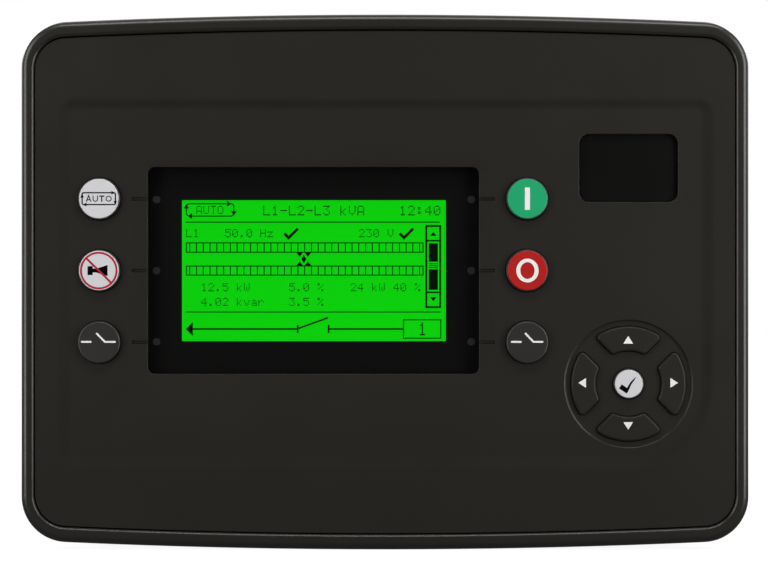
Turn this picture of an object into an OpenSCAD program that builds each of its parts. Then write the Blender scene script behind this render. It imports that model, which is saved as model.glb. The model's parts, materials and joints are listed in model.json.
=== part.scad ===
// Panel-mounted generating-set controller.
// Frame: +X to the viewer's right, +Z up, the front faces -Y.
// The origin is the middle of the panel plane, on which the gasket seats.

/* [Bezel] */
// Overall width of the bezel
bezel_w = 245; // [240:0.5:260]
// Overall height of the bezel at its middle
bezel_h = 180.3; // [178:0.5:195]
// Radius of the bezel's corners
bezel_corner_r = 15.4; // [12:0.2:20]
// Radius of the slow outward bow of the top and bottom edges
bezel_bow_r = 2360; // [1800:20:5000]
// Depth of the front, from the panel plane to the crest of the rim
front_depth = 12; // [11.5:0.1:14]
// Width of the raised rim at the sides
rim_w = 4.45; // [3.6:0.05:5]
// Extra width of the rim along the top and bottom
rim_extra = 0.8; // [0.2:0.05:1]
// Outer edge radius of the rim
rim_outer_r = 2.4; // [1:0.1:2.6]
// Inner edge radius of the rim
rim_inner_r = 1.1; // [0.6:0.1:1.2]
// Height of the rim over the fascia
rim_rise = 1; // [0.6:0.1:1.6]
// Thickness of the flange that lies on the gasket
flange_t = 2; // [1.6:0.1:2.6]
// Open groove between the rim and the fascia
rim_groove = 0.35; // [0.3:0.05:0.8]
// Thickness of the gasket under the flange
gasket_t = 1.2; // [0.8:0.1:1.6]
// How far the gasket stops short of the bezel's edge
gasket_margin = 4; // [3:0.5:6]

/* [Fascia] */
// Depth of the broad recess in the fascia
recess_depth = 0.8; // [0.5:0.1:1.2]
// Width of the recess's sloped wall, as seen from the front
recess_slope = 4.7; // [3:0.1:5.5]
// Left edge of the recess from the bezel's left edge
recess_inset_x = 12.2; // [11:0.1:14]
// Top edge of the recess below the bezel's top edge
recess_inset_z = 27.75; // [22:0.05:30]
// Corner radius of the recess away from the pad
recess_corner_r = 6; // [5.6:0.1:8]
// Thickness of the fascia under the recess
fascia_wall = 2.6; // [2.4:0.1:3]
// Thickness of the fascia's skirt
skirt_t = 2; // [1.6:0.1:2.4]
// Width of the badge recess
badge_w = 33.4; // [30:0.2:38]
// Height of the badge recess
badge_h = 23; // [20:0.2:26]
// Corner radius of the badge recess
badge_r = 3.4; // [2:0.1:5]
// Depth of the badge recess down to its inlay
badge_sink = 1.4; // [0.8:0.1:1.5]
// Thickness of the badge inlay
badge_t = 0.6; // [0.4:0.1:0.8]
// Centre of the badge below the bezel's top edge
badge_inset = 51.75; // [48:0.05:54]

/* [Display] */
// Centre of the window over the middle
window_z = 3.85; // [0:0.05:8]
// Height of the window opening
window_h = 69.85; // [66:0.05:74]
// Corner radius of the window opening
window_r = 2.4; // [1.5:0.1:4]
// Width of the sloped bevel round the window
bevel_w = 4.8; // [3.8:0.1:5]
// Drop of the bevel
bevel_depth = 0.7; // [0.3:0.1:1.1]
// Drop from the bevel's inner edge to the pane
window_sink = 2.4; // [2:0.1:2.8]
// Lap of the pane behind the opening
pane_lap = 2; // [1.5:0.1:2.5]
// Thickness of the pane
pane_t = 1.5; // [1:0.1:2]
// Thickness of the printed border film
mask_t = 0.3; // [0.2:0.1:0.5]
// Dark border beside the display's lit area
lcd_side = 11.15; // [10:0.05:13]
// Dark border over and under the display's lit area
lcd_over = 11; // [9:0.05:13]
// Border of the display cell beyond the lit area
lcd_border = 3; // [2:0.1:3.2]
// Thickness of the display cell
lcd_t = 2; // [1.6:0.1:2.4]
// Sheet thickness of the display's metal frame
lcd_frame_t = 0.4; // [0.3:0.1:0.6]
// Diameter of a status lamp
lamp_d = 2.56; // [2:0.02:3]
// Distance of the lamps from the edge of the window opening
lamp_inset = 2.55; // [2.1:0.05:2.8]
// Overall width of a lead mark across the bevel
mark_w = 1.15; // [1.1:0.05:1.6]
// Width of the groove that outlines a lead mark
mark_line = 0.4; // [0.25:0.05:0.45]

/* [Keys] */
// Diameter of a round key
key_d = 14.2; // [12:0.1:15]
// Radial gap between a key and its hole
key_gap = 0.45; // [0.4:0.05:0.8]
// Height of a key over the recess floor
key_proud = 1.8; // [1:0.1:2.4]
// Pitch of the key rows
key_pitch = 24.15; // [22:0.05:25]
// Left key column from the bezel's left edge
key_inset = 26.35; // [25:0.05:28]
// Distance of a key column from the edge of the window opening
key_column = 16.05; // [15.6:0.05:16.5]
// Dark margin round a coloured key face
face_margin = 0.45; // [0.2:0.05:0.8]
// Thickness of a coloured key face
face_t = 0.5; // [0.3:0.1:0.6]
// How far a key travels
key_travel = 1.2; // [0.6:0.1:1.4]
// Step of a key's collar beyond its body
collar = 1.6; // [1.2:0.1:1.8]
// Thickness of a key's collar
collar_t = 1; // [0.8:0.1:1.2]

/* [Pad] */
// Centre of the pad from the bezel's right edge
pad_inset_x = 40.4; // [39.5:0.1:42]
// Centre of the pad over the bezel's bottom edge
pad_inset_z = 55.85; // [52:0.05:58]
// Distance of the pad's centre from the right key column
pad_column = 34.25; // [33:0.05:36]
// Radius of the round dish
dish_r = 21.4; // [21:0.1:23]
// Depth of the dish below the recess floor
dish_depth = 0.7; // [0.6:0.1:1.1]
// Radius from the pad's centre to the recess wall beside it
pad_recess_r = 28.9; // [27:0.1:29.5]
// Inner radius of the arrow keys
arrow_r1 = 11.1; // [10.6:0.1:12]
// Outer radius of the arrow keys
arrow_r2 = 19.4; // [18.5:0.1:19.6]
// Distance of an arrow key's side from the diagonal
arrow_side = 3.05; // [2.6:0.05:3.6]
// Corner radius of the arrow keys
arrow_corner_r = 1.5; // [1.1:0.1:2]
// Gap round an arrow key
arrow_gap = 0.3; // [0.3:0.05:0.5]
// Height of the pad's keys over the dish floor
arrow_proud = 1.3; // [1.2:0.1:2.6]
// Diameter of the accept key
accept_d = 10.3; // [9.8:0.1:11.6]

/* [Case] */
// Land of the bezel beside the case, on which the panel bears
land_x = 13; // [12:0.1:13.5]
// Land of the bezel over and under the case
land_z = 10.65; // [9.65:0.05:11.65]
// Depth of the case behind the panel plane
case_depth = 39; // [37.5:0.5:45]
// Corner radius of the case
case_r = 3; // [2:0.5:5]
// Wall of the case
case_wall = 2.2; // [1.8:0.1:2.6]
// Height of the terminal ledges at the top and bottom
ledge_h = 24; // [23.4:0.2:26]
// Drop of the terminal ledges from the rear face
ledge_drop = 12; // [11.5:0.5:14]
// Distance of the case screws from the case's outside
case_screw_inset = 7; // [6.6:0.1:7.6]
// Width of a vent slot
vent_w = 2.5; // [1.5:0.1:3]
// Number of vent slots in each side
vent_count = 8; // [4:1:8]

/* [Boards] */
// Thickness of a circuit board
pcb_t = 1.6; // [1:0.1:2]
// Clear margin between the boards and the case's inside
pcb_margin = 4; // [3:0.2:5]
// Front of the front board behind the panel plane
front_pcb_y = 0.3; // [0.1:0.1:0.8]
// Front of the main board behind the panel plane
main_pcb_y = 14; // [13:0.2:15]
// Thickness of the keymat's sheet
keymat_t = 1; // [0.8:0.1:1.2]
// Radius of a board screw's shank
board_screw_r = 1.2; // [1:0.05:1.3]
// Radius of a case screw's shank
case_screw_r = 1.45; // [1.3:0.05:1.5]

/* [Terminals] */
// Pitch of the terminals
pitch = 5.08; // [4.9:0.02:5.12]
// Depth of a terminal header across the row
header_d = 12; // [11:0.2:13]
// Depth of a terminal plug across the row
plug_d = 15; // [14:0.2:16]
// Gap between a row's end and the case's screw columns
row_end = 0.9; // [0.6:0.1:1.5]

/* [Hidden] */
$fn = 48;

// Overshoot of every cut through a face
eps = 1;
// Clearance of pieces that drop into a pocket
pocket_gap = 0.2;
// Play of a screw in its thread
thread_gap = 0.05;
// Running gap between a key's collar and the fascia
collar_gap = 0.3;
// Edge radius of the keys
key_edge = 0.6;
// Edge break of the coloured faces
face_edge = 0.2;
// Thickness of a dome's crown, and the room left under it at full travel
crown_t = 0.8;
dome_spare = 0.6;
dome_h = key_travel + crown_t + dome_spare;
// Step of a light pipe's foot beyond its rod, and the foot's wall
pipe_step = 0.7;
pipe_wall = 0.5;
// Length of thread that a screw bites, and the room beyond its tip
screw_bite = 5;
tip_room = 2;

// Levels along Y, from the front to the back
rim_y = -front_depth;
fascia_y = rim_y + rim_rise;
recess_y = fascia_y + recess_depth;
bevel_y = recess_y + bevel_depth;
pane_y = bevel_y + window_sink;
fascia_back_y = recess_y + fascia_wall;
flange_back_y = -gasket_t;
flange_y = flange_back_y - flange_t;
pane_back_y = pane_y + pane_t;
mask_back_y = pane_back_y + mask_t;
glass_y = mask_back_y + lcd_frame_t;
glass_back_y = glass_y + lcd_t;
front_pcb_back_y = front_pcb_y + pcb_t;
keymat_y = front_pcb_y - keymat_t;
dome_y = keymat_y - dome_h;
key_y = recess_y - key_proud;
collar_y = fascia_back_y + collar_gap;
dish_y = recess_y + dish_depth;
arrow_y = dish_y - arrow_proud;
badge_y = recess_y + badge_sink;
main_pcb_back_y = main_pcb_y + pcb_t;
case_front_y = flange_back_y;
ledge_y = case_depth - ledge_drop;

// The row of the front from left to right: keys, window, keys, pad
left_x = key_inset - bezel_w / 2;
pad_x = bezel_w / 2 - pad_inset_x;
pad_z = pad_inset_z - bezel_h / 2;
right_x = pad_x - pad_column;
badge_z = bezel_h / 2 - badge_inset;

// Fascia, recess, window and badge outlines as boxes: left, right, bottom, top
fascia_inset = rim_w + rim_groove;
recess_box = [recess_inset_x - bezel_w / 2, pad_x + pad_recess_r,
    pad_z - pad_recess_r, bezel_h / 2 - recess_inset_z];
recess_radii = [recess_corner_r, recess_corner_r, recess_corner_r, pad_recess_r];
window_box = concat([left_x + key_column, right_x - key_column], span(window_z, window_h));
badge_box = centred_box(pad_x, badge_z, badge_w, badge_h);
pane_box = grown(window_box, pane_lap);
lcd_box = window_box + [lcd_side, -lcd_side, lcd_over, -lcd_over];
cell_box = grown(lcd_box, lcd_border);
frame_box = grown(cell_box, pocket_gap + lcd_frame_t);

// Key centres: the columns flank the window, the rows share its middle
rows = [window_z + key_pitch, window_z, window_z - key_pitch];
lamp_x = [window_box[0] + lamp_inset, window_box[1] - lamp_inset];
arrow_r = (arrow_r1 + arrow_r2) / 2;
arrows = [[0, 1], [0, -1], [-1, 0], [1, 0]];
round_keys = [for (x = [left_x, right_x], z = rows) [x, z]];
pad_keys = [for (a = concat(arrows, [[0, 0]])) [pad_x, pad_z] + arrow_r * a];
key_hole_r = key_d / 2 + key_gap;
stem_r = 4;
accept_hole_r = accept_d / 2 + key_gap;

// The case, the boards, their screws and the columns for the case screws
case_w = bezel_w - 2 * land_x;
case_h = bezel_h - 2 * land_z;
column_r = 4.6;
board_w = case_w - 2 * (case_wall + pcb_margin);
board_h = case_h - 2 * (case_wall + pcb_margin);
board_notch = case_screw_inset + column_r - pcb_margin;
case_screw_x = case_w / 2 - case_screw_inset;
case_screw_z = case_h / 2 - case_screw_inset;
case_screw_at = [for (x = [-1, 1], z = [-1, 1]) [x * case_screw_x, z * case_screw_z]];
boss_r = 3.2;
front_boss_inset = [20, 8];
front_boss_mid = 12;
front_boss_x = board_w / 2 - front_boss_inset[0];
front_boss_z = board_h / 2 - front_boss_inset[1];
front_boss_xs = [-front_boss_x, front_boss_mid, front_boss_x];
front_boss_at = [for (x = front_boss_xs, z = [-1, 1]) [x, z * front_boss_z]];
main_boss_inset = [4, 6];
main_boss_x = board_w / 2 - main_boss_inset[0];
main_boss_z = case_h / 2 - ledge_h - main_boss_inset[1];
main_boss_at = [for (x = [-1, 1], z = [-1, 1]) [x * main_boss_x, z * main_boss_z]];
screw_head_r = 2.3;
screw_head_t = 1.6;
case_head_r = 2.75;
case_head_t = 2.2;
case_floor_y = 4;

// Parts on the main board: sizes, first places from the board's left edge, and spacings
relay_size = [10, 15, 19];
relay_at = [13.3 - board_w / 2, 14];
relay_step = 14;
capacitor_r = 5;
capacitor_h = 16;
capacitor_at = [118.3 - board_w / 2, 30];
capacitor_step = 15;
transformer_w = 16;
transformer_bore_r = 3;
transformer_at = [19.3 - board_w / 2, -40];
transformer_step = 20;
chip_size = [24, 1.6, 24];
chip_at = [113.3 - board_w / 2, -30];
cell_r = 10;
cell_t = 3.2;
cell_at = [167.3 - board_w / 2, -22];

// Terminal rows: how many ways each block has, and how wide its neighbours are
header_wall = 1;
top_ways = [12, 8, 12];
bottom_ways = [8, 8, 4];
serial_w = 31;
ethernet_w = 16;
usb_w = 12;
top_widths = [for (n = top_ways) block_w(n)];
bottom_widths = concat([for (n = bottom_ways) block_w(n)], [serial_w, ethernet_w, usb_w]);
row_room = case_w - 2 * (case_screw_inset + column_r + row_end);
row_gap = (row_room - total(bottom_widths, len(bottom_widths))) / (len(bottom_widths) - 1);
row_z = case_h / 2 - ledge_h / 2;
// Each block: ways, centre along X, side of the case
blocks = concat(
    [for (i = [0:2]) [top_ways[i], row_x(top_widths, i), 1]],
    [for (i = [0:2]) [bottom_ways[i], row_x(bottom_widths, i), -1]]);
header_rim_y = ledge_y + 1;
header_floor_y = main_pcb_back_y + 3;
pin_r = 0.5;
pin_y = header_floor_y + 7;
plug_back_y = case_depth;
plug_y = header_rim_y + pocket_gap;
plug_nose_y = header_floor_y + 0.6;
wire_hole = 3.2;
screw_pocket_r = 1.9;
screw_pocket_y = plug_back_y - 4;
socket_gap = 0.4;

function centred_box(x, z, w, h) = [x - w / 2, x + w / 2, z - h / 2, z + h / 2];
function span(middle, width) = [middle - width / 2, middle + width / 2];
function grown(b, d) = b + d * [-1, 1, -1, 1];
function block_w(n) = n * pitch + 2 * header_wall;
function total(v, n) = n == 0 ? 0 : v[n - 1] + total(v, n - 1);
function row_x(widths, i) =
    total(widths, i) + i * row_gap + widths[i] / 2
    - (total(widths, len(widths)) + (len(widths) - 1) * row_gap) / 2;

// Points of an arc, in the plane of the front
function arc(c, r, from, to, steps) =
    [for (i = [0:steps]) let (a = from + (to - from) * i / steps) c + r * [cos(a), sin(a)]];

// The bezel's bowed outline, set in by d: every arc keeps its centre, but for the rim's extra
// width, by which the top and the bottom draw together between the outside and the fascia
function bezel_outline(d) =
    let (
        r = bezel_corner_r,
        cx = bezel_w / 2 - r,
        bow_z = bezel_h / 2 - bezel_bow_r,
        cz = bow_z + sqrt(pow(bezel_bow_r - r, 2) - cx * cx),
        half = asin(cx / (bezel_bow_r - r)),
        drop = rim_extra * min(1, d / fascia_inset),
        top = cz - drop,
        bow = bow_z - drop)
    concat(
        arc([cx, top], r - d, 0, 90 - half, 8),
        arc([0, bow], bezel_bow_r - d, 90 - half * 5 / 6, 90 + half * 5 / 6, 10),
        arc([-cx, top], r - d, 90 + half, 180, 8),
        arc([-cx, -top], r - d, 180, 270 - half, 8),
        arc([0, -bow], bezel_bow_r - d, 270 - half * 5 / 6, 270 + half * 5 / 6, 10),
        arc([cx, -top], r - d, 270 + half, 360, 8));

// A box with round corners, set in by d: radii for upper right, upper left, lower left, lower right
function round_box(b, r, d = 0) =
    concat(
        arc([b[1] - r[0], b[3] - r[0]], r[0] - d, 0, 90, 8),
        arc([b[0] + r[1], b[3] - r[1]], r[1] - d, 90, 180, 8),
        arc([b[0] + r[2], b[2] + r[2]], r[2] - d, 180, 270, 8),
        arc([b[1] - r[3], b[2] + r[3]], r[3] - d, 270, 360, 16));
function even(r) = [r, r, r, r];

// One arrow key's outline about the pad's centre, pointing up, set in by d
function arrow_outline(d) =
    let (
        c = arrow_corner_r,
        side = arrow_side + c,
        out = sqrt(pow(arrow_r2 - c, 2) - side * side),
        in = sqrt(pow(arrow_r1 + c, 2) - side * side),
        u = [sin(45), cos(45)],
        n = [-cos(45), sin(45)],
        co = side * n + out * u,
        ci = side * n + in * u,
        ao = atan2(co[1], co[0]),
        ai = atan2(ci[1], ci[0]))
    concat(
        arc(ci, c - d, ai - 180, -45, 3),
        arc(co, c - d, -45, ao, 5),
        arc([0, 0], arrow_r2 - d, ao + (90 - ao) / 3, 180 - ao - (90 - ao) / 3, 4),
        arc([-co[0], co[1]], c - d, 180 - ao, 225, 5),
        arc([-ci[0], ci[1]], c - d, 225, 360 - ai, 3),
        arc([0, 0], arrow_r1 + d, 180 - ai - (90 - ai) / 3, ai + (90 - ai) / 3, 3));

// A plate from y0 back to y1, of the outline drawn in X and Z
module slab(y0, y1) {
    translate([0, y1, 0])
        rotate([90, 0, 0])
            linear_extrude(y1 - y0)
                children();
}

// A round bar along Y
module bar(x, z, r, y0, y1, r1 = undef) {
    translate([x, y1, z])
        rotate([90, 0, 0])
            cylinder(h = y1 - y0, r1 = r, r2 = is_undef(r1) ? r : r1);
}

// A block given by its X, Y and Z limits
module block(x, y, z) {
    translate([x[0], y[0], z[0]])
        cube([x[1] - x[0], y[1] - y[0], z[1] - z[0]]);
}

// A rounded box drawn as an exact outline
module box_outline(b, r) {
    translate([b[0] + r, b[2]])
        square([b[1] - b[0] - 2 * r, b[3] - b[2]]);
    translate([b[0], b[2] + r])
        square([b[1] - b[0], b[3] - b[2] - 2 * r]);
    for (x = [b[0] + r, b[1] - r], z = [b[2] + r, b[3] - r])
        translate([x, z])
            circle(r);
}

// A solid through rings of points, listed from the front to the back
module skin(rings) {
    n = len(rings[0][0]);
    last = len(rings) - 1;
    polyhedron(
        points = [for (ring = rings, p = ring[0]) [p[0], ring[1], p[1]]],
        faces = concat(
            [[for (j = [n - 1:-1:0]) j]],
            [for (k = [0:last - 1], j = [0:n - 1])
                [k * n + j, k * n + (j + 1) % n, (k + 1) * n + (j + 1) % n, (k + 1) * n + j]],
            [[for (j = [0:n - 1]) last * n + j]]));
}

// A closed section of [inset, y] points carried round the bezel's outline
module bezel_sweep(section) {
    m = len(section);
    n = len(bezel_outline(0));
    polyhedron(
        points = [for (s = section, p = bezel_outline(s[0])) [p[0], s[1], p[1]]],
        faces = [for (k = [0:m - 1], j = [0:n - 1])
            [k * n + j, k * n + (j + 1) % n, ((k + 1) % m) * n + (j + 1) % n, ((k + 1) % m) * n + j]]);
}

// The boards' outline: a rectangle with its corners cut away for the columns
module board_outline(grow = 0) {
    difference() {
        square([board_w + 2 * grow, board_h + 2 * grow], center = true);
        for (x = [-1, 1], z = [-1, 1])
            translate([x * board_w / 2, z * board_h / 2])
                square(2 * (board_notch - grow), center = true);
    }
}

module bezel_frame() {
    rear_edge = 0.8;
    wall = rim_w - rim_groove;
    post_y = fascia_back_y + collar_gap;
    section = concat(
        arc([rim_outer_r, rim_y + rim_outer_r], rim_outer_r, 270, 180, 4),
        [[0, flange_back_y - rear_edge], [rear_edge, flange_back_y], [wall, flange_back_y],
            [wall, flange_y - rim_groove], [rim_w, flange_y - 2 * rim_groove]],
        arc([rim_w - rim_inner_r, rim_y + rim_inner_r], rim_inner_r, 360, 270, 4));
    color("#2a2927")
        difference() {
            union() {
                bezel_sweep(section);
                slab(flange_y, flange_back_y)
                    difference() {
                        polygon(bezel_outline(wall / 2));
                        board_outline(pcb_margin / 2);
                    }
                for (p = case_screw_at)
                    bar(p[0], p[1], column_r - rim_groove, post_y, flange_y + flange_t / 2);
            }
            for (p = case_screw_at)
                bar(p[0], p[1], case_screw_r + thread_gap, post_y + collar_gap, flange_back_y + eps);
        }
}

module fascia_panel() {
    color("#292826")
        difference() {
            union() {
                slab(fascia_y, fascia_back_y)
                    polygon(bezel_outline(fascia_inset));
                slab(fascia_y, flange_y)
                    difference() {
                        polygon(bezel_outline(fascia_inset));
                        polygon(bezel_outline(fascia_inset + skirt_t));
                    }
                slab(fascia_back_y - eps, pane_y)
                    polygon(round_box(pane_box, even(window_r)));
                for (p = front_boss_at)
                    bar(p[0], p[1], boss_r, fascia_back_y - eps, front_pcb_y);
            }
            skin([
                [round_box(recess_box, recess_radii, -recess_slope * eps / recess_depth), fascia_y - eps],
                [round_box(recess_box, recess_radii, recess_slope), recess_y]]);
            skin([
                [round_box(window_box, even(window_r), -bevel_w * (1 + eps / bevel_depth)), recess_y - eps],
                [round_box(window_box, even(window_r)), bevel_y]]);
            slab(bevel_y - eps, pane_y + eps)
                polygon(round_box(window_box, even(window_r)));
            lead_marks();
            for (k = round_keys)
                bar(k[0], k[1], key_hole_r, recess_y - eps, fascia_back_y + eps);
            bar(pad_x, pad_z, dish_r, recess_y - eps, dish_y);
            bar(pad_x, pad_z, accept_hole_r, dish_y - eps, fascia_back_y + eps);
            for (a = arrows)
                at_arrow(a)
                    slab(dish_y - eps, fascia_back_y + eps)
                        polygon(arrow_outline(-arrow_gap));
            slab(recess_y - eps, badge_y + badge_t)
                polygon(round_box(badge_box, even(badge_r)));
            for (p = front_boss_at)
                bar(p[0], p[1], board_screw_r + thread_gap, fascia_back_y, front_pcb_y + eps);
        }
}

// Fine grooves across the bevel, which outline a mark from each key towards its lamp
module lead_marks() {
    mark_y = [recess_y - eps, bevel_y + pocket_gap];
    reach = bevel_w + mark_line;
    left = [window_box[0] - reach, window_box[0] + eps];
    right = [window_box[1] - eps, window_box[1] + reach];
    for (x = [left, right], z = rows)
        difference() {
            block(x, mark_y, span(z, mark_w));
            block(x + mark_line * [1, -1], mark_y + eps * [-1, 1], span(z, mark_w - 2 * mark_line));
        }
}

// Turns what is drawn about the pad's centre, pointing up, to one of its four sides
module at_arrow(a) {
    translate([pad_x, 0, pad_z])
        rotate([0, atan2(a[0], a[1]), 0])
            children();
}

module badge_plate() {
    color("#0d0d0d")
        slab(badge_y, badge_y + badge_t)
            box_outline(grown(badge_box, -pocket_gap), badge_r - pocket_gap);
}

module gasket() {
    case_box = centred_box(0, 0, case_w, case_h);
    color("#1b1b1b")
        slab(flange_back_y, 0)
            difference() {
                polygon(bezel_outline(gasket_margin));
                box_outline(grown(case_box, socket_gap), case_r + socket_gap);
            }
}

module display_window() {
    color("#101418", 0.4)
        slab(pane_y, pane_back_y)
            box_outline(pane_box, window_r);
}

module window_mask() {
    color("#0b0b0b")
        slab(pane_back_y, mask_back_y)
            difference() {
                box_outline(pane_box, window_r);
                box_outline(lcd_box, mask_t);
                for (x = lamp_x, z = rows)
                    translate([x, z])
                        circle(d = lamp_d);
            }
}

module lcd_frame() {
    color("#8d9094")
        difference() {
            slab(mask_back_y, front_pcb_y)
                box_outline(frame_box, lcd_frame_t);
            slab(glass_y, front_pcb_y + eps)
                box_outline(grown(cell_box, pocket_gap), pocket_gap);
            slab(mask_back_y - eps, glass_y + eps)
                box_outline(lcd_box, mask_t);
        }
}

module lcd_glass() {
    color("#12c812")
        slab(glass_y, glass_back_y)
            box_outline(cell_box, pocket_gap);
}

module backlight() {
    color("#dfe8d8")
        slab(glass_back_y, front_pcb_y)
            box_outline(cell_box, pocket_gap);
}

// Clear rods from the board to the pane, hollow over their lamps
module light_pipes() {
    foot_h = 2;
    foot_r = lamp_d / 2 + pipe_step;
    color("#c9d2d6")
        for (x = lamp_x, z = rows)
            difference() {
                union() {
                    bar(x, z, lamp_d / 2 - thread_gap, pane_back_y, front_pcb_y);
                    bar(x, z, foot_r, front_pcb_y - foot_h, front_pcb_y);
                }
                bar(x, z, foot_r - pipe_wall, front_pcb_y - foot_h / 2, front_pcb_y + eps);
            }
}

module indicator_leds() {
    led = [1.6, 0.7, 0.8];
    color("#e8e4d0")
        for (x = lamp_x, z = rows)
            translate([x - led[0] / 2, front_pcb_y - led[1], z - led[2] / 2])
                cube(led);
}

// A round key: body, collar behind the fascia and stem down to its dome
module round_key(p, r, top_y) {
    section = concat(
        [[0, -dome_y], [stem_r, -dome_y], [stem_r, -collar_y - collar_t],
            [r + collar, -collar_y - collar_t], [r + collar, -collar_y], [r, -collar_y]],
        arc([r - key_edge, -top_y - key_edge], key_edge, 0, 90, 4),
        [[0, -top_y]]);
    translate([p[0], 0, p[1]])
        rotate([90, 0, 0])
            rotate_extrude()
                polygon(section);
}

// The coloured disc that caps a key
module key_face(p, r, top_y) {
    bar(p[0], p[1], r - face_margin, top_y + face_edge, top_y + face_t);
    bar(p[0], p[1], r - face_margin, top_y, top_y + face_edge, r - face_margin - face_edge);
}

// An arrow key: filleted body, collar and stem
module arrow_key(a) {
    steps = 3;
    out = -arrow_gap - collar / 4;
    at_arrow(a) {
        skin(concat(
            [for (i = [0:steps]) let (t = 90 * i / steps)
                [arrow_outline(key_edge * (1 - sin(t))), arrow_y + key_edge * (1 - cos(t))]],
            [[arrow_outline(0), collar_y], [arrow_outline(out), collar_y], [arrow_outline(out), collar_y + collar_t]]));
        bar(0, arrow_r, stem_r, collar_y + collar_t / 2, dome_y);
    }
}

module mode_key() { color("#302f31") round_key(round_keys[0], key_d / 2, key_y + face_t); }
module mute_key() { color("#302f31") round_key(round_keys[1], key_d / 2, key_y + face_t); }
module close_breaker_key() { color("#302f31") round_key(round_keys[2], key_d / 2, key_y); }
module start_key() { color("#302f31") round_key(round_keys[3], key_d / 2, key_y + face_t); }
module stop_key() { color("#302f31") round_key(round_keys[4], key_d / 2, key_y + face_t); }
module open_breaker_key() { color("#302f31") round_key(round_keys[5], key_d / 2, key_y); }
module mode_face() { color("#d8d8da") key_face(round_keys[0], key_d / 2, key_y); }
module mute_face() { color("#d8d8da") key_face(round_keys[1], key_d / 2, key_y); }
module start_face() { color("#24a86c") key_face(round_keys[3], key_d / 2, key_y); }
module stop_face() { color("#be1c1e") key_face(round_keys[4], key_d / 2, key_y); }
module up_key() { color("#302f31") arrow_key(arrows[0]); }
module down_key() { color("#302f31") arrow_key(arrows[1]); }
module left_key() { color("#302f31") arrow_key(arrows[2]); }
module right_key() { color("#302f31") arrow_key(arrows[3]); }
module accept_key() { color("#302f31") round_key([pad_x, pad_z], accept_d / 2, arrow_y + face_t); }
module accept_face() { color("#d8d8da") key_face([pad_x, pad_z], accept_d / 2, arrow_y); }

module keymat() {
    crown_r = stem_r - 0.2;
    foot_r = stem_r + 0.6;
    hollow_r = stem_r - 0.9;
    keymat_margin = 0.6;
    color("#4a4d50")
        difference() {
            union() {
                slab(keymat_y, front_pcb_y)
                    difference() {
                        board_outline(-keymat_margin);
                        box_outline(grown(frame_box, socket_gap), socket_gap);
                        for (x = lamp_x, z = rows)
                            translate([x, z])
                                circle(lamp_d / 2 + pipe_step + socket_gap);
                        for (p = front_boss_at)
                            translate(p)
                                circle(boss_r + socket_gap);
                    }
                for (p = concat(round_keys, pad_keys))
                    bar(p[0], p[1], foot_r, dome_y, keymat_y, crown_r);
            }
            for (p = concat(round_keys, pad_keys))
                bar(p[0], p[1], hollow_r, dome_y + crown_t, front_pcb_y + eps);
        }
}

module front_pcb() {
    color("#1f5f3a")
        slab(front_pcb_y, front_pcb_back_y)
            difference() {
                board_outline();
                for (p = front_boss_at)
                    translate(p)
                        circle(board_screw_r + 2 * pocket_gap);
            }
}

// A pan-head screw: its head lies on head_y, and its shank runs the way dir points
module screw(p, shank_r, head_r, head_t, head_y, length, dir) {
    slot_w = head_r / 3;
    head = [head_y - dir * head_t, head_y];
    shank = [head_y, head_y + dir * length];
    slot = [head_y - dir * (head_t + eps), head_y - dir * head_t / 2];
    difference() {
        union() {
            bar(p[0], p[1], head_r, min(head), max(head));
            bar(p[0], p[1], shank_r, min(shank), max(shank));
        }
        block(span(p[0], 2 * (head_r + eps)), [min(slot), max(slot)], span(p[1], slot_w));
    }
}

module front_pcb_screws() {
    color("#b8bcc0")
        for (p = front_boss_at)
            screw(p, board_screw_r, screw_head_r, screw_head_t, front_pcb_back_y, pcb_t + screw_bite, -1);
}

module main_pcb() {
    color("#1f5f3a")
        slab(main_pcb_y, main_pcb_back_y)
            difference() {
                board_outline();
                for (p = main_boss_at)
                    translate(p)
                        circle(board_screw_r + 2 * pocket_gap);
            }
}

module main_pcb_screws() {
    color("#b8bcc0")
        for (p = main_boss_at)
            screw(p, board_screw_r, screw_head_r, screw_head_t, main_pcb_y, pcb_t + screw_bite, 1);
}

// The link between the boards: a pin strip on the front one, a socket on the main one
link_pins = 20;
link_pitch = 2.54;
link_w = link_pins * link_pitch + 1;
link_d = 5;
link_base_t = 2.5;
link_y = front_pcb_back_y + link_base_t;

module board_header() {
    pin_w = 0.64;
    color("#202020")
        block(link_w / 2 * [-1, 1], [front_pcb_back_y, link_y], link_d / 2 * [-1, 1]);
    color("#c8a84a")
        for (i = [0:link_pins - 1], z = [-1, 1])
            translate([(i - (link_pins - 1) / 2) * link_pitch - pin_w / 2, link_y - eps,
                z * link_pitch / 2 - pin_w / 2])
                cube([pin_w, eps + (main_pcb_y - link_y) / 2, pin_w]);
}

module board_socket() {
    wall = 0.6;
    color("#202020")
        difference() {
            block(link_w / 2 * [-1, 1], [link_y, main_pcb_y], link_d / 2 * [-1, 1]);
            block((link_w / 2 - wall) * [-1, 1], [link_y - eps, (link_y + main_pcb_y) / 2 + wall],
                (link_d / 2 - wall) * [-1, 1]);
        }
}

module relays() {
    color("#20262e")
        for (i = [0:4])
            translate([relay_at[0] + i * relay_step, main_pcb_back_y, relay_at[1]])
                cube(relay_size);
}

module capacitors() {
    color("#23252a")
        for (i = [0:3])
            bar(capacitor_at[0] + i * capacitor_step, capacitor_at[1], capacitor_r,
                main_pcb_back_y, main_pcb_back_y + capacitor_h);
}

module current_transformers() {
    color("#1a3b6e")
        for (i = [0:3])
            translate([transformer_at[0] + i * transformer_step, main_pcb_back_y, transformer_at[1]])
                difference() {
                    cube(transformer_w);
                    translate([transformer_w / 2, transformer_w / 2, -eps])
                        cylinder(h = transformer_w + 2 * eps, r = transformer_bore_r);
                }
}

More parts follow.
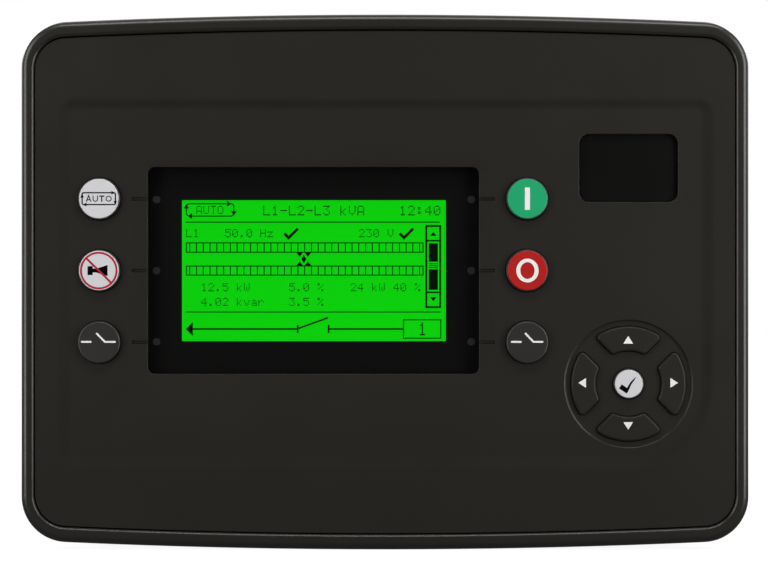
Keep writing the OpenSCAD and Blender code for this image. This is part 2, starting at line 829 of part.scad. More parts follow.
module processor_chip() {
    color("#151515")
        translate([chip_at[0], main_pcb_back_y, chip_at[1]])
            cube(chip_size);
}

module clock_battery() {
    color("#c4c7c9")
        bar(cell_at[0], cell_at[1], cell_r, main_pcb_back_y, main_pcb_back_y + cell_t);
}

module rear_case() {
    plateau_h = case_h - 2 * ledge_h;
    inner_w = case_w - 2 * case_wall;
    clip = [10, 4];
    clip_inset = 34;
    clip_x = case_w / 2 - clip_inset;
    clip_y = (case_front_y + ledge_y) / 2;
    vent_reach = [8, 4];
    vent_y = [main_pcb_y - vent_reach[0], main_pcb_back_y + vent_reach[1]];
    color("#232425")
        difference() {
            union() {
                difference() {
                    union() {
                        slab(case_front_y, ledge_y)
                            box_outline(centred_box(0, 0, case_w, case_h), case_r);
                        slab(ledge_y - eps, case_depth)
                            box_outline(centred_box(0, 0, case_w, plateau_h), case_r);
                    }
                    slab(case_front_y - eps, ledge_y - case_wall)
                        box_outline(centred_box(0, 0, inner_w, case_h - 2 * case_wall), case_r / 2);
                    slab(ledge_y - case_wall - eps, case_depth - case_wall)
                        box_outline(centred_box(0, 0, inner_w, plateau_h - 2 * case_wall), case_r / 2);
                }
                for (p = case_screw_at)
                    bar(p[0], p[1], column_r, case_front_y, ledge_y - eps);
                for (p = main_boss_at)
                    bar(p[0], p[1], boss_r, main_pcb_back_y, case_depth - eps);
            }
            for (p = case_screw_at) {
                bar(p[0], p[1], case_screw_r + 2 * pocket_gap, case_front_y - eps, ledge_y + eps);
                bar(p[0], p[1], case_head_r + pocket_gap, case_floor_y, ledge_y + eps);
            }
            for (p = main_boss_at)
                bar(p[0], p[1], board_screw_r + thread_gap, main_pcb_back_y - eps,
                    main_pcb_back_y + screw_bite + tip_room);
            for (b = blocks)
                ledge_opening(b[1], block_w(b[0]), header_d, b[2]);
            for (i = [3:5])
                ledge_opening(row_x(bottom_widths, i), bottom_widths[i], header_d + 2, -1);
            for (x = [-1, 1], z = [-1, 1])
                translate([x * clip_x, clip_y, z * case_h / 2])
                    cube([clip[0], clip[1], 4 * case_wall], center = true);
            for (x = [-1, 1], i = [0:vent_count - 1])
                translate([x * case_w / 2, 0, (i - (vent_count - 1) / 2) * 3 * vent_w])
                    block([-2 * case_wall, 2 * case_wall], vent_y, vent_w / 2 * [-1, 1]);
        }
}

// The hole in a ledge that a connector stands through
module ledge_opening(x, w, d, side) {
    slab(ledge_y - case_wall - eps, ledge_y + eps)
        translate([x, side * row_z])
            square([w + 2 * socket_gap, d + 2 * socket_gap], center = true);
}

module case_screws() {
    color("#b8bcc0")
        for (p = case_screw_at)
            screw(p, case_screw_r, case_head_r, case_head_t, case_floor_y,
                case_floor_y + gasket_t + screw_bite, -1);
}

module terminal_header(b) {
    w = block_w(b[0]);
    z = b[2] * row_z;
    color("#1d6b3a")
        difference() {
            block(span(b[1], w), [main_pcb_back_y, header_rim_y], span(z, header_d));
            block(span(b[1], w - 2 * header_wall), [header_floor_y, header_rim_y + eps],
                span(z, header_d - 2 * header_wall));
        }
}

// The X of one way in a block
function way_x(b, i) = b[1] + (i - (b[0] - 1) / 2) * pitch;

module terminal_plug(b) {
    w = block_w(b[0]);
    z = b[2] * row_z;
    wire_z = b[2] * plug_d / 2;
    wire_y = (plug_y + screw_pocket_y) / 2;
    nose = header_wall + pocket_gap;
    color("#2f9a55")
        difference() {
            union() {
                block(span(b[1], w - 2 * nose), [plug_nose_y, plug_y + eps],
                    span(z, header_d - 2 * nose));
                block(span(b[1], w), [plug_y, plug_back_y], span(z, plug_d));
            }
            for (i = [0:b[0] - 1]) {
                bar(way_x(b, i), z, pin_r + pocket_gap, plug_nose_y - eps, pin_y + pocket_gap);
                bar(way_x(b, i), z, screw_pocket_r, screw_pocket_y, plug_back_y + eps);
                translate([way_x(b, i), wire_y, z + wire_z])
                    cube([wire_hole, wire_hole, plug_d], center = true);
            }
        }
}

module header_pins() {
    color("#c9ccce")
        for (b = blocks, i = [0:b[0] - 1])
            bar(way_x(b, i), b[2] * row_z, pin_r, header_floor_y, pin_y);
}

module terminal_screws() {
    head_t = 1.8;
    slot_w = 0.7;
    head_r = screw_pocket_r - pocket_gap;
    color("#b8bcc0")
        for (b = blocks, i = [0:b[0] - 1])
            difference() {
                bar(way_x(b, i), b[2] * row_z, head_r, screw_pocket_y, screw_pocket_y + head_t);
                translate([way_x(b, i), screw_pocket_y + head_t, b[2] * row_z])
                    cube([2 * head_r + eps, head_t, slot_w], center = true);
            }
}

module voltage_header() { terminal_header(blocks[0]); }
module current_header() { terminal_header(blocks[1]); }
module input_header() { terminal_header(blocks[2]); }
module power_header() { terminal_header(blocks[3]); }
module output_header() { terminal_header(blocks[4]); }
module bus_header() { terminal_header(blocks[5]); }
module voltage_plug() { terminal_plug(blocks[0]); }
module current_plug() { terminal_plug(blocks[1]); }
module input_plug() { terminal_plug(blocks[2]); }
module power_plug() { terminal_plug(blocks[3]); }
module output_plug() { terminal_plug(blocks[4]); }
module bus_plug() { terminal_plug(blocks[5]); }

// Nine-pin serial connector: block on the board, hollow shell and its pins
serial_x = row_x(bottom_widths, 3);
post_x = 12.5;

module serial_socket() {
    shell = [18, 9];
    shell_t = 0.6;
    shell_box = centred_box(serial_x, -row_z, shell[0], shell[1]);
    shell_r = 2;
    shell_y = [ledge_y + 1, ledge_y + 7];
    serial_pitch = 2.74;
    color("#9a9da0")
        union() {
            block(span(serial_x, serial_w), [main_pcb_back_y, shell_y[0]],
                span(-row_z, header_d));
            difference() {
                slab(shell_y[0] - eps, shell_y[1])
                    box_outline(shell_box, shell_r);
                slab(shell_y[0], shell_y[1] + eps)
                    box_outline(grown(shell_box, -shell_t), shell_r - shell_t);
            }
            for (row = [0, 1], i = [0:4 - row])
                translate([(i - (4 - row) / 2) * serial_pitch, 0, (0.5 - row) * serial_pitch])
                    bar(serial_x, -row_z, pin_r, shell_y[0] - eps, shell_y[1] - 1);
        }
}

module serial_posts() {
    post_r = 2.6;
    thread_r = 1.5;
    color("#b8bcc0")
        for (x = [-1, 1])
            difference() {
                translate([serial_x + x * post_x, ledge_y + 6, -row_z])
                    rotate([90, 0, 0])
                        cylinder(h = 5, r = post_r, $fn = 6);
                bar(serial_x + x * post_x, -row_z, thread_r, ledge_y + 2, ledge_y + 6 + eps);
            }
}

module ethernet_socket() {
    x = row_x(bottom_widths, 4);
    mouth = [11.8, 8.2];
    key = [6, 1.6];
    color("#a4a7aa")
        difference() {
            block(span(x, ethernet_w), [main_pcb_back_y, header_rim_y], span(-row_z, header_d));
            block(span(x, mouth[0]), [header_floor_y, header_rim_y + eps], span(-row_z, mouth[1]));
            block(span(x, key[0]), [header_floor_y, header_rim_y + eps],
                [-row_z - mouth[1] / 2 - key[1], -row_z]);
        }
}

module usb_socket() {
    x = row_x(bottom_widths, 5);
    mouth = [8.5, 7.8];
    tongue = [5.6, 3.2];
    tongue_sink = 1.2;
    color("#a4a7aa")
        union() {
            difference() {
                block(span(x, usb_w), [main_pcb_back_y, header_rim_y], span(-row_z, header_d));
                block(span(x, mouth[0]), [header_floor_y, header_rim_y + eps],
                    span(-row_z, mouth[1]));
            }
            block(span(x, tongue[0]), [header_floor_y - eps, header_rim_y - tongue_sink],
                span(-row_z, tongue[1]));
        }
}

bezel_frame();
fascia_panel();
badge_plate();
gasket();
display_window();
window_mask();
lcd_frame();
lcd_glass();
backlight();
light_pipes();
indicator_leds();
mode_key();
mute_key();
close_breaker_key();
start_key();
stop_key();
open_breaker_key();
mode_face();
mute_face();
start_face();
stop_face();
up_key();
down_key();
left_key();
right_key();
accept_key();
accept_face();
keymat();
front_pcb();
front_pcb_screws();
board_header();
board_socket();
main_pcb();
main_pcb_screws();
relays();
capacitors();
current_transformers();
processor_chip();
clock_battery();
rear_case();
case_screws();
voltage_header();
voltage_plug();
current_header();
current_plug();
input_header();
input_plug();
power_header();
power_plug();
output_header();
output_plug();
bus_header();
bus_plug();
header_pins();
terminal_screws();
serial_socket();
serial_posts();
ethernet_socket();
usb_socket();
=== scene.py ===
"""Panel-mounted generating-set controller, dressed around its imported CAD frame."""

import json
import math

import bmesh
import bpy
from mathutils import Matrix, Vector

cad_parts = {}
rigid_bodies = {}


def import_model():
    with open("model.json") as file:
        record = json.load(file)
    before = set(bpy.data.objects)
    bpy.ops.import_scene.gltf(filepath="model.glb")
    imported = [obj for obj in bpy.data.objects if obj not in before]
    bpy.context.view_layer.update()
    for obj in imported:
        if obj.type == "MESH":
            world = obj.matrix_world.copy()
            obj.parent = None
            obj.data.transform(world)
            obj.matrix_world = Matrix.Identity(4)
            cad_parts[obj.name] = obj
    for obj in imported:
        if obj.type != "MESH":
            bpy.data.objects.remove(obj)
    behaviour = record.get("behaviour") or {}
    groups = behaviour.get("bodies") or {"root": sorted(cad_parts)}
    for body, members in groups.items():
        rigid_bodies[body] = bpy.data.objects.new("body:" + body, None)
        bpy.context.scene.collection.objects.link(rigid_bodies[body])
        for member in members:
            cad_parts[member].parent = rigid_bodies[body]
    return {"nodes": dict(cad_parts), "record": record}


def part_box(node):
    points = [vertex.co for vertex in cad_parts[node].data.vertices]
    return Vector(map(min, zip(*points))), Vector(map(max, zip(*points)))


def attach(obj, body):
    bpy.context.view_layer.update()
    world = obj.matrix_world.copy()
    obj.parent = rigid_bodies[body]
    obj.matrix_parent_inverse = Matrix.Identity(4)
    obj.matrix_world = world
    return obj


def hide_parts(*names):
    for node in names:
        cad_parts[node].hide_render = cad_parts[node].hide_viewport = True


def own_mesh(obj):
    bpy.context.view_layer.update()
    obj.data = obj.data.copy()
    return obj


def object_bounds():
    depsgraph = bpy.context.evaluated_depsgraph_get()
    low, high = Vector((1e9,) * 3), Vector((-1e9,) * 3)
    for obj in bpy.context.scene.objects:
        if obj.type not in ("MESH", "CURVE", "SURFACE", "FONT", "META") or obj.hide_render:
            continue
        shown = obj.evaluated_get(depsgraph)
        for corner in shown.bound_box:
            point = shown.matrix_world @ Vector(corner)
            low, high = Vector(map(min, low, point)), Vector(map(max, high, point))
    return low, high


bl_info = {
    "name": "Genset Controller",
    "version": (1, 0, 0),
    "blender": (4, 5, 0),
    "location": "3D View > Sidebar > Controller",
    "description": "Builds a panel-mounted genset controller around its CAD frame",
    "category": "Object",
}

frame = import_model()
CAD_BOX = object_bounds()
MM = 0.001
HOUSING = "housing"

# Smallest turn between two faces that shows as a sharp edge, and lift of print that lies on other print
SHARP = math.radians(35.0)
LIFT = 0.005 * MM

# Points on a narrow circle such as a bore, on a stem or a boss, on a key, and on the pad's dish
NARROW, SMALL, ROUND, BROAD = 32, 48, 96, 160

# The round keys of both columns, the arrow keys with their turn in degrees, and the keys with a cap
ROUND_KEYS = ("mode", "mute", "close_breaker", "start", "stop", "open_breaker")
ARROW_KEYS = {"up": 0, "left": 90, "down": 180, "right": 270}
CAPS = {"mode": "key_white", "mute": "key_white", "start": "key_green", "stop": "key_red",
        "accept": "key_white"}

# The terminal blocks, each a header and a plug
BLOCKS = ("voltage", "current", "input", "power", "output", "bus")

# Finishes by name, which main fills once the colours are registered
FINISHES = {}


def linear(code):
    """Linear colour of an sRGB hex value, with full alpha."""
    channels = [int(code[i:i + 2], 16) / 255 for i in (1, 3, 5)]
    return [c / 12.92 if c <= 0.04045 else ((c + 0.055) / 1.055) ** 2.4 for c in channels] + [1.0]


def length(name, description, millimetres):
    """A size that a user may change, given in millimetres."""
    return bpy.props.FloatProperty(name=name, description=description, default=millimetres * MM,
                                   unit="LENGTH", precision=4, min=0.0)


def colour(name, description, code):
    """A colour that a user may change, given as an sRGB hex value."""
    return bpy.props.FloatVectorProperty(name=name, description=description, default=linear(code),
                                         subtype="COLOR", size=4, min=0.0, max=1.0)


class ControllerSizes(bpy.types.PropertyGroup):
    """Sizes of the front that the frame's boxes don't give."""

    corner_r: length("Corner radius", "Radius of the bezel's corners", 15.4)
    bow_r: length("Bow radius", "Radius of the slow bow of the top and bottom edges", 2360)
    rim_w: length("Rim width", "Width of the raised rim at the sides", 4.45)
    rim_extra: length("Rim extra", "Extra width of the rim along the top and bottom", 0.8)
    rim_outer_r: length("Rim outer radius", "Rounding of the rim's outer edge", 2.4)
    rim_inner_r: length("Rim inner radius", "Rounding of the rim's inner edge", 1.1)
    rim_rise: length("Rim rise", "Height of the rim over the fascia", 1.0)
    groove: length("Groove", "Open groove between the rim and the fascia", 0.35)
    flange_t: length("Flange", "Thickness of the flange on the gasket", 2.0)
    flange_margin: length("Flange margin", "Gap between the flange and the front board", 2.0)
    notch: length("Notch", "Width of the flange's corner beyond the front board's notch", 5.6)
    screw_inset: length("Screw inset", "Distance of the case screws from the case's outside", 7.0)
    post_r: length("Post", "Radius of the posts for the case screws", 4.25)
    post_bore_r: length("Post bore", "Radius of the bores for the case screws", 1.5)
    boss_r: length("Boss", "Radius of the bosses for the front board's screws", 3.2)
    boss_bore_r: length("Boss bore", "Radius of the bores for the front board's screws", 1.25)
    boss_mid: length("Middle boss", "Distance of the middle bosses from the middle", 12.0)
    board_head_r: length("Board screw head", "Radius of the front board's screw heads", 2.3)
    recess_depth: length("Recess depth", "Depth of the broad recess", 0.8)
    recess_slope: length("Recess slope", "Width of the recess's sloped wall", 4.7)
    recess_corner_r: length("Recess corner", "Corner radius of the recess", 6.0)
    recess_left: length("Recess left", "Left edge of the recess from the bezel's edge", 12.2)
    recess_top: length("Recess top", "Top edge of the recess below the bezel's edge", 27.75)
    pad_recess_r: length("Pad recess", "Radius from the pad's centre to the recess wall", 28.9)
    fascia_wall: length("Fascia wall", "Thickness of the fascia under the recess", 2.6)
    skirt_t: length("Skirt", "Thickness of the fascia's skirt", 2.0)
    pane_lap: length("Pane lap", "Lap of the pane behind the window opening", 2.0)
    window_r: length("Window corner", "Corner radius of the window opening", 2.4)
    bevel_w: length("Bevel width", "Width of the bevel round the window", 4.8)
    bevel_depth: length("Bevel depth", "Drop of the bevel", 0.7)
    mark_w: length("Lead mark", "Overall width of a lead mark across the bevel", 1.15)
    mark_line: length("Lead mark line", "Width of the groove that outlines a lead mark", 0.4)
    # Deeper than in the solids, as the photograph shows it
    mark_depth: length("Lead mark depth", "Depth of the groove that outlines a lead mark", 0.9)
    # Finer than in the solids, as the photograph shows it
    key_gap: length("Key gap", "Gap that shows between a round key and its hole", 0.2)
    key_edge: length("Key edge", "Rounding of a bare key's edge", 0.6)
    arrow_edge: length("Arrow edge", "Rounding of an arrow key's edge", 0.9)
    capped_edge: length("Capped edge", "Rounding of a key's edge under its cap", 0.4)
    cap_edge: length("Cap edge", "Rounding of a coloured cap's edge", 0.25)
    collar: length("Collar", "Step of a key's collar behind the fascia", 1.6)
    collar_t: length("Collar thickness", "Thickness of a key's collar", 1.0)
    collar_gap: length("Collar gap", "Gap between a key's collar and the fascia", 0.3)
    stem_r: length("Stem", "Radius of a key's stem", 4.0)
    dish_r: length("Dish radius", "Radius of the pad's dish", 21.4)
    dish_depth: length("Dish depth", "Depth of the dish below the recess", 0.7)
    arrow_r1: length("Arrow inner radius", "Inner radius of the arrow keys", 11.1)
    arrow_r2: length("Arrow outer radius", "Outer radius of the arrow keys", 19.4)
    arrow_side: length("Arrow side", "Distance of an arrow key's side from the diagonal", 3.05)
    arrow_corner_r: length("Arrow corner", "Corner radius of the arrow keys", 1.5)
    # Finer than in the solids, as the photograph shows it
    arrow_gap: length("Arrow gap", "Gap that shows round an arrow key", 0.18)
    badge_gap: length("Badge gap", "Play of the badge inlay in its recess", 0.2)
    lcd_border: length("Display border", "Border of the display cell beyond the lit area", 3.0)
    print_t: length("Print", "Thickness of a printed mark", 0.03)


class ControllerColours(bpy.types.PropertyGroup):
    """Colours of the pieces that show."""

    housing: colour("Housing", "Bezel and fascia", "#23211D")
    case: colour("Case", "Case behind the panel", "#2A2B2D")
    key_dark: colour("Dark keys", "Bare key tops", "#242220")
    # The arrow keys' own dark tone, lifted above the housing's as a painted sheen for the gloss their low
    # specular level leaves out
    key_pad: colour("Arrow keys", "Arrow keys of the pad", "#2B2925")
    key_white: colour("White caps", "Mode, mute and accept caps", "#D7D6D9")
    key_green: colour("Green cap", "Start cap", "#1BA66D")
    key_red: colour("Red cap", "Stop cap", "#B21411")
    legend: colour("White print", "Symbols on dark and coloured keys", "#F2F1EE")
    legend_dark: colour("Black print", "Symbols on white caps", "#030304")
    legend_red: colour("Red print", "Ring and bar on the mute cap", "#B01A34")
    display: colour("Display", "Lit ground of the display", "#05D805")
    display_mark: colour("Display marks", "Dark dots of the display", "#021203")
    mask: colour("Mask", "Black print behind the pane", "#080807")
    terminal: colour("Terminals", "Plug-in terminal blocks", "#1F8A4C")


def sizes():
    return bpy.context.scene.controller_sizes


def colours():
    return bpy.context.scene.controller_colours


# Materials

def add(tree, kind, settings=None, inputs=None):
    """Adds one node, with its settings and with values or links on its inputs."""
    node = tree.nodes.new(kind)
    for key, value in (settings or {}).items():
        setattr(node, key, value)
    for key, value in (inputs or {}).items():
        if isinstance(value, bpy.types.NodeSocket):
            tree.links.new(value, node.inputs[key])
        else:
            node.inputs[key].default_value = value
    return node


def material(name):
    """A new material with an empty tree and its output, and its object coordinates."""
    mat = bpy.data.materials.new(name)
    mat.use_nodes = True
    tree = mat.node_tree
    tree.nodes.clear()
    place = add(tree, "ShaderNodeTexCoord").outputs["Object"]
    return mat, tree, place


def surface(tree, shader):
    add(tree, "ShaderNodeOutputMaterial", None, {"Surface": shader.outputs[0]})


def shade(code, factor):
    """A linear colour made lighter or darker by a factor."""
    return [min(1.0, c * factor) for c in code[:3]] + [1.0]


def noise(tree, place, size, detail, roughness=0.5):
    """Random pattern from 0 to 1, with patches of about the given size."""
    node = add(tree, "ShaderNodeTexNoise", None,
               {"Vector": place, "Scale": 1 / size, "Detail": detail, "Roughness": roughness})
    return node.outputs["Fac"]


def blend(tree, factor, a, b):
    """Colour between two others."""
    node = add(tree, "ShaderNodeMix", {"data_type": "RGBA"}, {"Factor": factor, "A": a, "B": b})
    return node.outputs["Result"]


def ramp(tree, value, start, end, low, high, kind="LINEAR"):
    """Maps a value that runs from start to end onto the range from low to high."""
    node = add(tree, "ShaderNodeMapRange", {"interpolation_type": kind},
               {"Value": value, "From Min": start, "From Max": end, "To Min": low, "To Max": high})
    return node.outputs["Result"]


def maths(tree, operation, a, b):
    return add(tree, "ShaderNodeMath", {"operation": operation}, {0: a, 1: b}).outputs[0]


def bumps(tree, height, depth, strength):
    """Normals of a fine relief of the given depth."""
    node = add(tree, "ShaderNodeBump", None, {"Strength": strength, "Distance": depth, "Height": height})
    return node.outputs["Normal"]


def finished(mat, tree, inputs):
    """Ends a material's tree with its shader and gives the material back."""
    surface(tree, add(tree, "ShaderNodeBsdfPrincipled", None, inputs))
    return mat


def moulded(name, base, rough, grain, depth, specular=0.5, drift=0.02):
    """Injection-moulded plastic: the tool's fine grain, and slow drifts of tone and gloss from its flow."""
    mat, tree, place = material(name)
    flow = noise(tree, place, size=30 * MM, detail=2.0)
    spark = noise(tree, place, size=grain, detail=3.0, roughness=0.6)
    return finished(mat, tree, {
        "Base Color": blend(tree, flow, shade(base, 1 - drift), shade(base, 1 + drift)),
        "Roughness": ramp(tree, flow, 0.3, 0.7, rough - drift, rough + drift),
        "IOR": 1.53,
        "Specular IOR Level": specular,
        "Normal": bumps(tree, spark, depth, strength=0.5),
    })


def plated(name, base, rough, line):
    """Plated steel: bright, with fine drawing lines and a slow bloom in the plating."""
    mat, tree, place = material(name)
    stretch = add(tree, "ShaderNodeMapping", {"vector_type": "TEXTURE"},
                  {"Vector": place, "Scale": (12.0, 1.0, 1.0)})
    lines = noise(tree, stretch.outputs["Vector"], size=line, detail=4.0)
    bloom = noise(tree, place, size=4 * MM, detail=2.0)
    return finished(mat, tree, {
        "Base Color": blend(tree, bloom, shade(base, 0.85), shade(base, 1.1)),
        "Metallic": 1.0,
        "Roughness": ramp(tree, lines, 0.0, 1.0, rough - 0.08, rough + 0.12),
        "Normal": bumps(tree, lines, 0.004 * MM, strength=0.2),
    })


def foamed(name, base, cell):
    """Foam rubber: a skin of open cells that swallows the light, with painted shade in each hollow and
    lighter ridges.
    """
    mat, tree, place = material(name)
    pattern = add(tree, "ShaderNodeTexVoronoi", None, {"Vector": place, "Scale": 1 / cell})
    cells = pattern.outputs["Distance"]
    return finished(mat, tree, {
        # Painted shade: the colour darkens into each cell's hollow and lightens on its ridges, following the
        # bumps
        "Base Color": blend(tree, cells, shade(base, 0.6), shade(base, 1.3)),
        "Roughness": 0.92,
        "Specular IOR Level": 0.2,
        "Normal": bumps(tree, cells, 0.1 * MM, strength=0.8),
    })


def printed(name, base, rough, specular=0.3):
    """Printed ink: an even flat film, a little patchy in its tone and gloss."""
    mat, tree, place = material(name)
    patch = noise(tree, place, size=0.6 * MM, detail=2.0)
    return finished(mat, tree, {
        "Base Color": blend(tree, patch, shade(base, 0.95), shade(base, 1.04)),
        "Roughness": ramp(tree, patch, 0.0, 1.0, rough - 0.05, rough + 0.05),
        "Specular IOR Level": specular,
    })


def acrylic_pane(name):
    """Cast acrylic, hard coated: clear, with only faint smears in its gloss."""
    mat, tree, place = material(name)
    smear = noise(tree, place, size=18 * MM, detail=3.0)
    return finished(mat, tree, {
        "Base Color": linear("#0A0C0C"),
        "Roughness": ramp(tree, smear, 0.0, 1.0, 0.04, 0.12),
        "IOR": 1.49,
        "Alpha": 0.06,
    })


def lit_display(name, base):
    """Backlit liquid crystal: an even glow, with a faint slow drift in its strength."""
    mat, tree, place = material(name)
    drift = noise(tree, place, size=40 * MM, detail=1.0)
    return finished(mat, tree, {
        "Base Color": linear("#020802"),
        "Roughness": 0.4,
        "Specular IOR Level": 0.1,
        "Emission Color": blend(tree, drift, shade(base, 0.96), shade(base, 1.04)),
        "Emission Strength": 1.0,
    })


def solder_resist(name, base):
    """Glass-epoxy board under green resist: copper runs show through as paler lines."""
    mat, tree, place = material(name)
    runs = add(tree, "ShaderNodeTexBrick", None,
               {"Vector": place, "Color1": shade(base, 0.85), "Color2": base, "Mortar": shade(base, 1.9),
                "Scale": 1 / (8 * MM), "Mortar Size": 0.05})
    weave = noise(tree, place, size=0.5 * MM, detail=2.0)
    return finished(mat, tree, {
        "Base Color": runs.outputs["Color"],
        "Roughness": 0.35,
        "IOR": 1.55,
        "Normal": bumps(tree, weave, 0.02 * MM, strength=0.4),
    })


def make_finishes():
    """All finishes by the name of the record's slot, the pad's plastic and the inks."""
    c = colours()
    # Real tool grain is near 0.05 mm, too fine to show: it is drawn from 0.25 to 0.6 mm wide here
    fine, medium, broad = 0.25 * MM, 0.35 * MM, 0.6 * MM
    return {
        # ABS moulded in a spark-eroded tool: the grain spreads every highlight into a soft sheen
        "moulded_housing": moulded("abs_spark_grain", c.housing, 0.3, medium, 0.01 * MM),
        # Flame-retardant PC/ABS from a coarser tool: duller and greyer than the front
        "case_plastic": moulded("pc_abs_coarse_grain", c.case, 0.55, broad, 0.03 * MM, 0.5, 0.05),
        # Closed-cell EPDM foam: black, soft and without shine
        "gasket_rubber": foamed("epdm_foam_skin", linear("#1A1A1A"), 0.5 * MM),
        # Cast acrylic with a hard coat: almost nothing shows but a faint gloss
        "clear_pane": acrylic_pane("acrylic_hard_coated"),
        # Polyester film printed black on its back: a deep even black with a slight sheen
        "black_film": printed("polyester_black_print", c.mask, 0.55, 0.1),
        # Acrylic inlay moulded in a polished tool: black, with little of the light thrown back
        "badge_gloss": moulded("acrylic_black_polished", linear("#090908"), 0.42, broad, 0.002 * MM, 0.12),
        # Liquid crystal cell lit from behind: an even saturated green that glows by itself
        "lcd_green": lit_display("liquid_crystal_backlit", c.display),
        # Tinned sheet steel, folded: a soft grey metal sheen
        "folded_steel": plated("tinned_steel_sheet", linear("#A9ABAE"), 0.35, 0.2 * MM),
        # Milky acrylic light guide, moulded: white and soft
        "light_guide": moulded("acrylic_milky", linear("#E4EADF"), 0.4, broad, 0.004 * MM),
        # Polycarbonate rods with frosted ends: grey when their lamps are off
        "lamp_clear": moulded("polycarbonate_frosted", linear("#2B2B2A"), 0.5, fine, 0.01 * MM),
        # Polyamide lamp bodies, moulded: cream and dull
        "led_body": moulded("polyamide_lamp_body", linear("#E3DEC8"), 0.5, fine, 0.005 * MM),
        # Hard ABS key tops, moulded matt: a shade lighter than the fascia
        "key_dark": moulded("abs_key_matt", c.key_dark, 0.45, fine, 0.008 * MM),
        # Arrow keys of ABS with the fascia's grain: their dark colour is lifted above the fascia's as a
        # painted sheen, standing in for the gloss their low specular level leaves out, so they read the same
        # dark tone as the dish round them
        "key_pad": moulded("abs_key_spark_grain", c.key_pad, 0.34, medium, 0.01 * MM, 0.12),
        # Solid-coloured ABS caps with a satin skin: clean flat colour and a weak, wide highlight
        "key_white": moulded("abs_white_satin", c.key_white, 0.42, fine, 0.004 * MM, 0.4),
        "key_green": moulded("abs_green_satin", c.key_green, 0.42, fine, 0.004 * MM, 0.4),
        "key_red": moulded("abs_red_satin", c.key_red, 0.42, fine, 0.004 * MM, 0.4),
        # Press-moulded silicone: grey, with a waxy half-gloss
        "silicone": moulded("silicone_pressed", linear("#4A4D50"), 0.62, broad, 0.01 * MM),
        # Glass epoxy under solder resist: glossy green with paler copper runs
        "board_green": solder_resist("glass_epoxy_resist", linear("#1F5F3A")),
        # Zinc-plated steel, cold headed: bright grey with a faint bloom
        "screw_steel": plated("steel_zinc_plated", linear("#B4B8BC"), 0.38, 0.08 * MM),
        # Glass-filled PBT, moulded: black with a dry surface
        "connector_black": moulded("pbt_glass_filled", linear("#1C1C1D"), 0.6, medium, 0.012 * MM),
        # Polyamide terminal blocks, moulded: saturated green with a waxy shine
        "terminal_green": moulded("polyamide_green", c.terminal, 0.55, broad, 0.01 * MM, 0.3),
        # Nickel-plated steel shells, deep drawn: bright, with soft streaks along the draw
        "connector_steel": plated("steel_nickel_plated", linear("#B0B0AE"), 0.3, 0.12 * MM),
        # PBT relay cans, moulded: blue-black with a slight shine
        "relay_case": moulded("pbt_relay_black", linear("#20262E"), 0.45, broad, 0.008 * MM),
        # PVC sleeves shrunk on the capacitors: dark and smooth, with a clear highlight
        "capacitor_sleeve": moulded("pvc_shrink_sleeve", linear("#23252A"), 0.3, broad, 0.006 * MM),
        # Potted ABS transformer cases: plain matt blue
        "transformer_case": moulded("abs_potted_blue", linear("#1A3B6E"), 0.5, broad, 0.01 * MM),
        # Epoxy moulding compound: nearly black and quite matt
        "chip_black": moulded("epoxy_moulded", linear("#181818"), 0.65, fine, 0.008 * MM),
        # Stainless steel cell, deep drawn: pale bright metal
        "cell_steel": plated("stainless_deep_drawn", linear("#C4C7C9"), 0.25, 0.15 * MM),
        # Tin-plated brass pins and clamp screws: white metal with a light haze
        "pin_tin": plated("brass_tin_plated", linear("#CBCDCE"), 0.32, 0.06 * MM),
        # Two-part ink, pad printed: matt and opaque
        "ink_white": printed("pad_print_white", c.legend, 0.5),
        "ink_dark": printed("pad_print_black", c.legend_dark, 0.5, 0.05),
        "ink_red": printed("pad_print_red", c.legend_red, 0.5),
        # Driven cells of the liquid crystal: they hold back the green light
        "display_dots": printed("liquid_crystal_driven", c.display_mark, 0.6, 0.05),
    }


# Outlines in the plane of the front, as (x, z) points

def arc(cx, cz, r, start, end, steps):
    angles = [math.radians(start + (end - start) * i / steps) for i in range(steps + 1)]
    return [(cx + r * math.cos(a), cz + r * math.sin(a)) for a in angles]


def circle(cx, cz, r, steps=ROUND):
    return arc(cx, cz, r, 0, 360 * (steps - 1) / steps, steps - 1)


def bezel_size():
    """Half width, half height, and the front and rear levels of the bezel."""
    low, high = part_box("bezel_frame")
    return high.x, high.z, low.y, high.y


def bow_outline(inset):
    """The bezel's bowed outline, set in: every arc keeps its centre, but for the rim's extra width."""
    s = sizes()
    half_w, half_h, _, _ = bezel_size()
    cx = half_w - s.corner_r
    bow_z = half_h - s.bow_r
    cz = bow_z + math.sqrt((s.bow_r - s.corner_r) ** 2 - cx ** 2)
    half = math.degrees(math.asin(cx / (s.bow_r - s.corner_r)))
    corner, bow = s.corner_r - inset, s.bow_r - inset
    # The bow stops a little short of the corners, so that no two points meet
    bow_share = 0.96
    inner = half * bow_share
    drop = s.rim_extra * min(1.0, inset / (s.rim_w + s.groove))
    cz -= drop
    bow_z -= drop
    return (arc(cx, cz, corner, 0, 90 - half, 16)
            + arc(0, bow_z, bow, 90 - inner, 90 + inner, 40)
            + arc(-cx, cz, corner, 90 + half, 180, 16)
            + arc(-cx, -cz, corner, 180, 270 - half, 16)
            + arc(0, -bow_z, bow, 270 - inner, 270 + inner, 40)
            + arc(cx, -cz, corner, 270 + half, 360, 16))


def round_box(box, radii, grow=0.0, steps=14):
    """A box (left, right, bottom, top) with round corners, from upper right to lower right."""
    left, right, bottom, top = box
    a, b, c, d = radii
    return (arc(right - a, top - a, a + grow, 0, 90, steps)
            + arc(left + b, top - b, b + grow, 90, 180, steps)
            + arc(left + c, bottom + c, c + grow, 180, 270, steps)
            + arc(right - d, bottom + d, d + grow, 270, 360, steps * 2))


def turned(outline, cx, cz, degrees):
    """An outline about the origin, turned and moved to a place."""
    c, s = math.cos(math.radians(degrees)), math.sin(math.radians(degrees))
    return [(cx + x * c - z * s, cz + x * s + z * c) for x, z in outline]


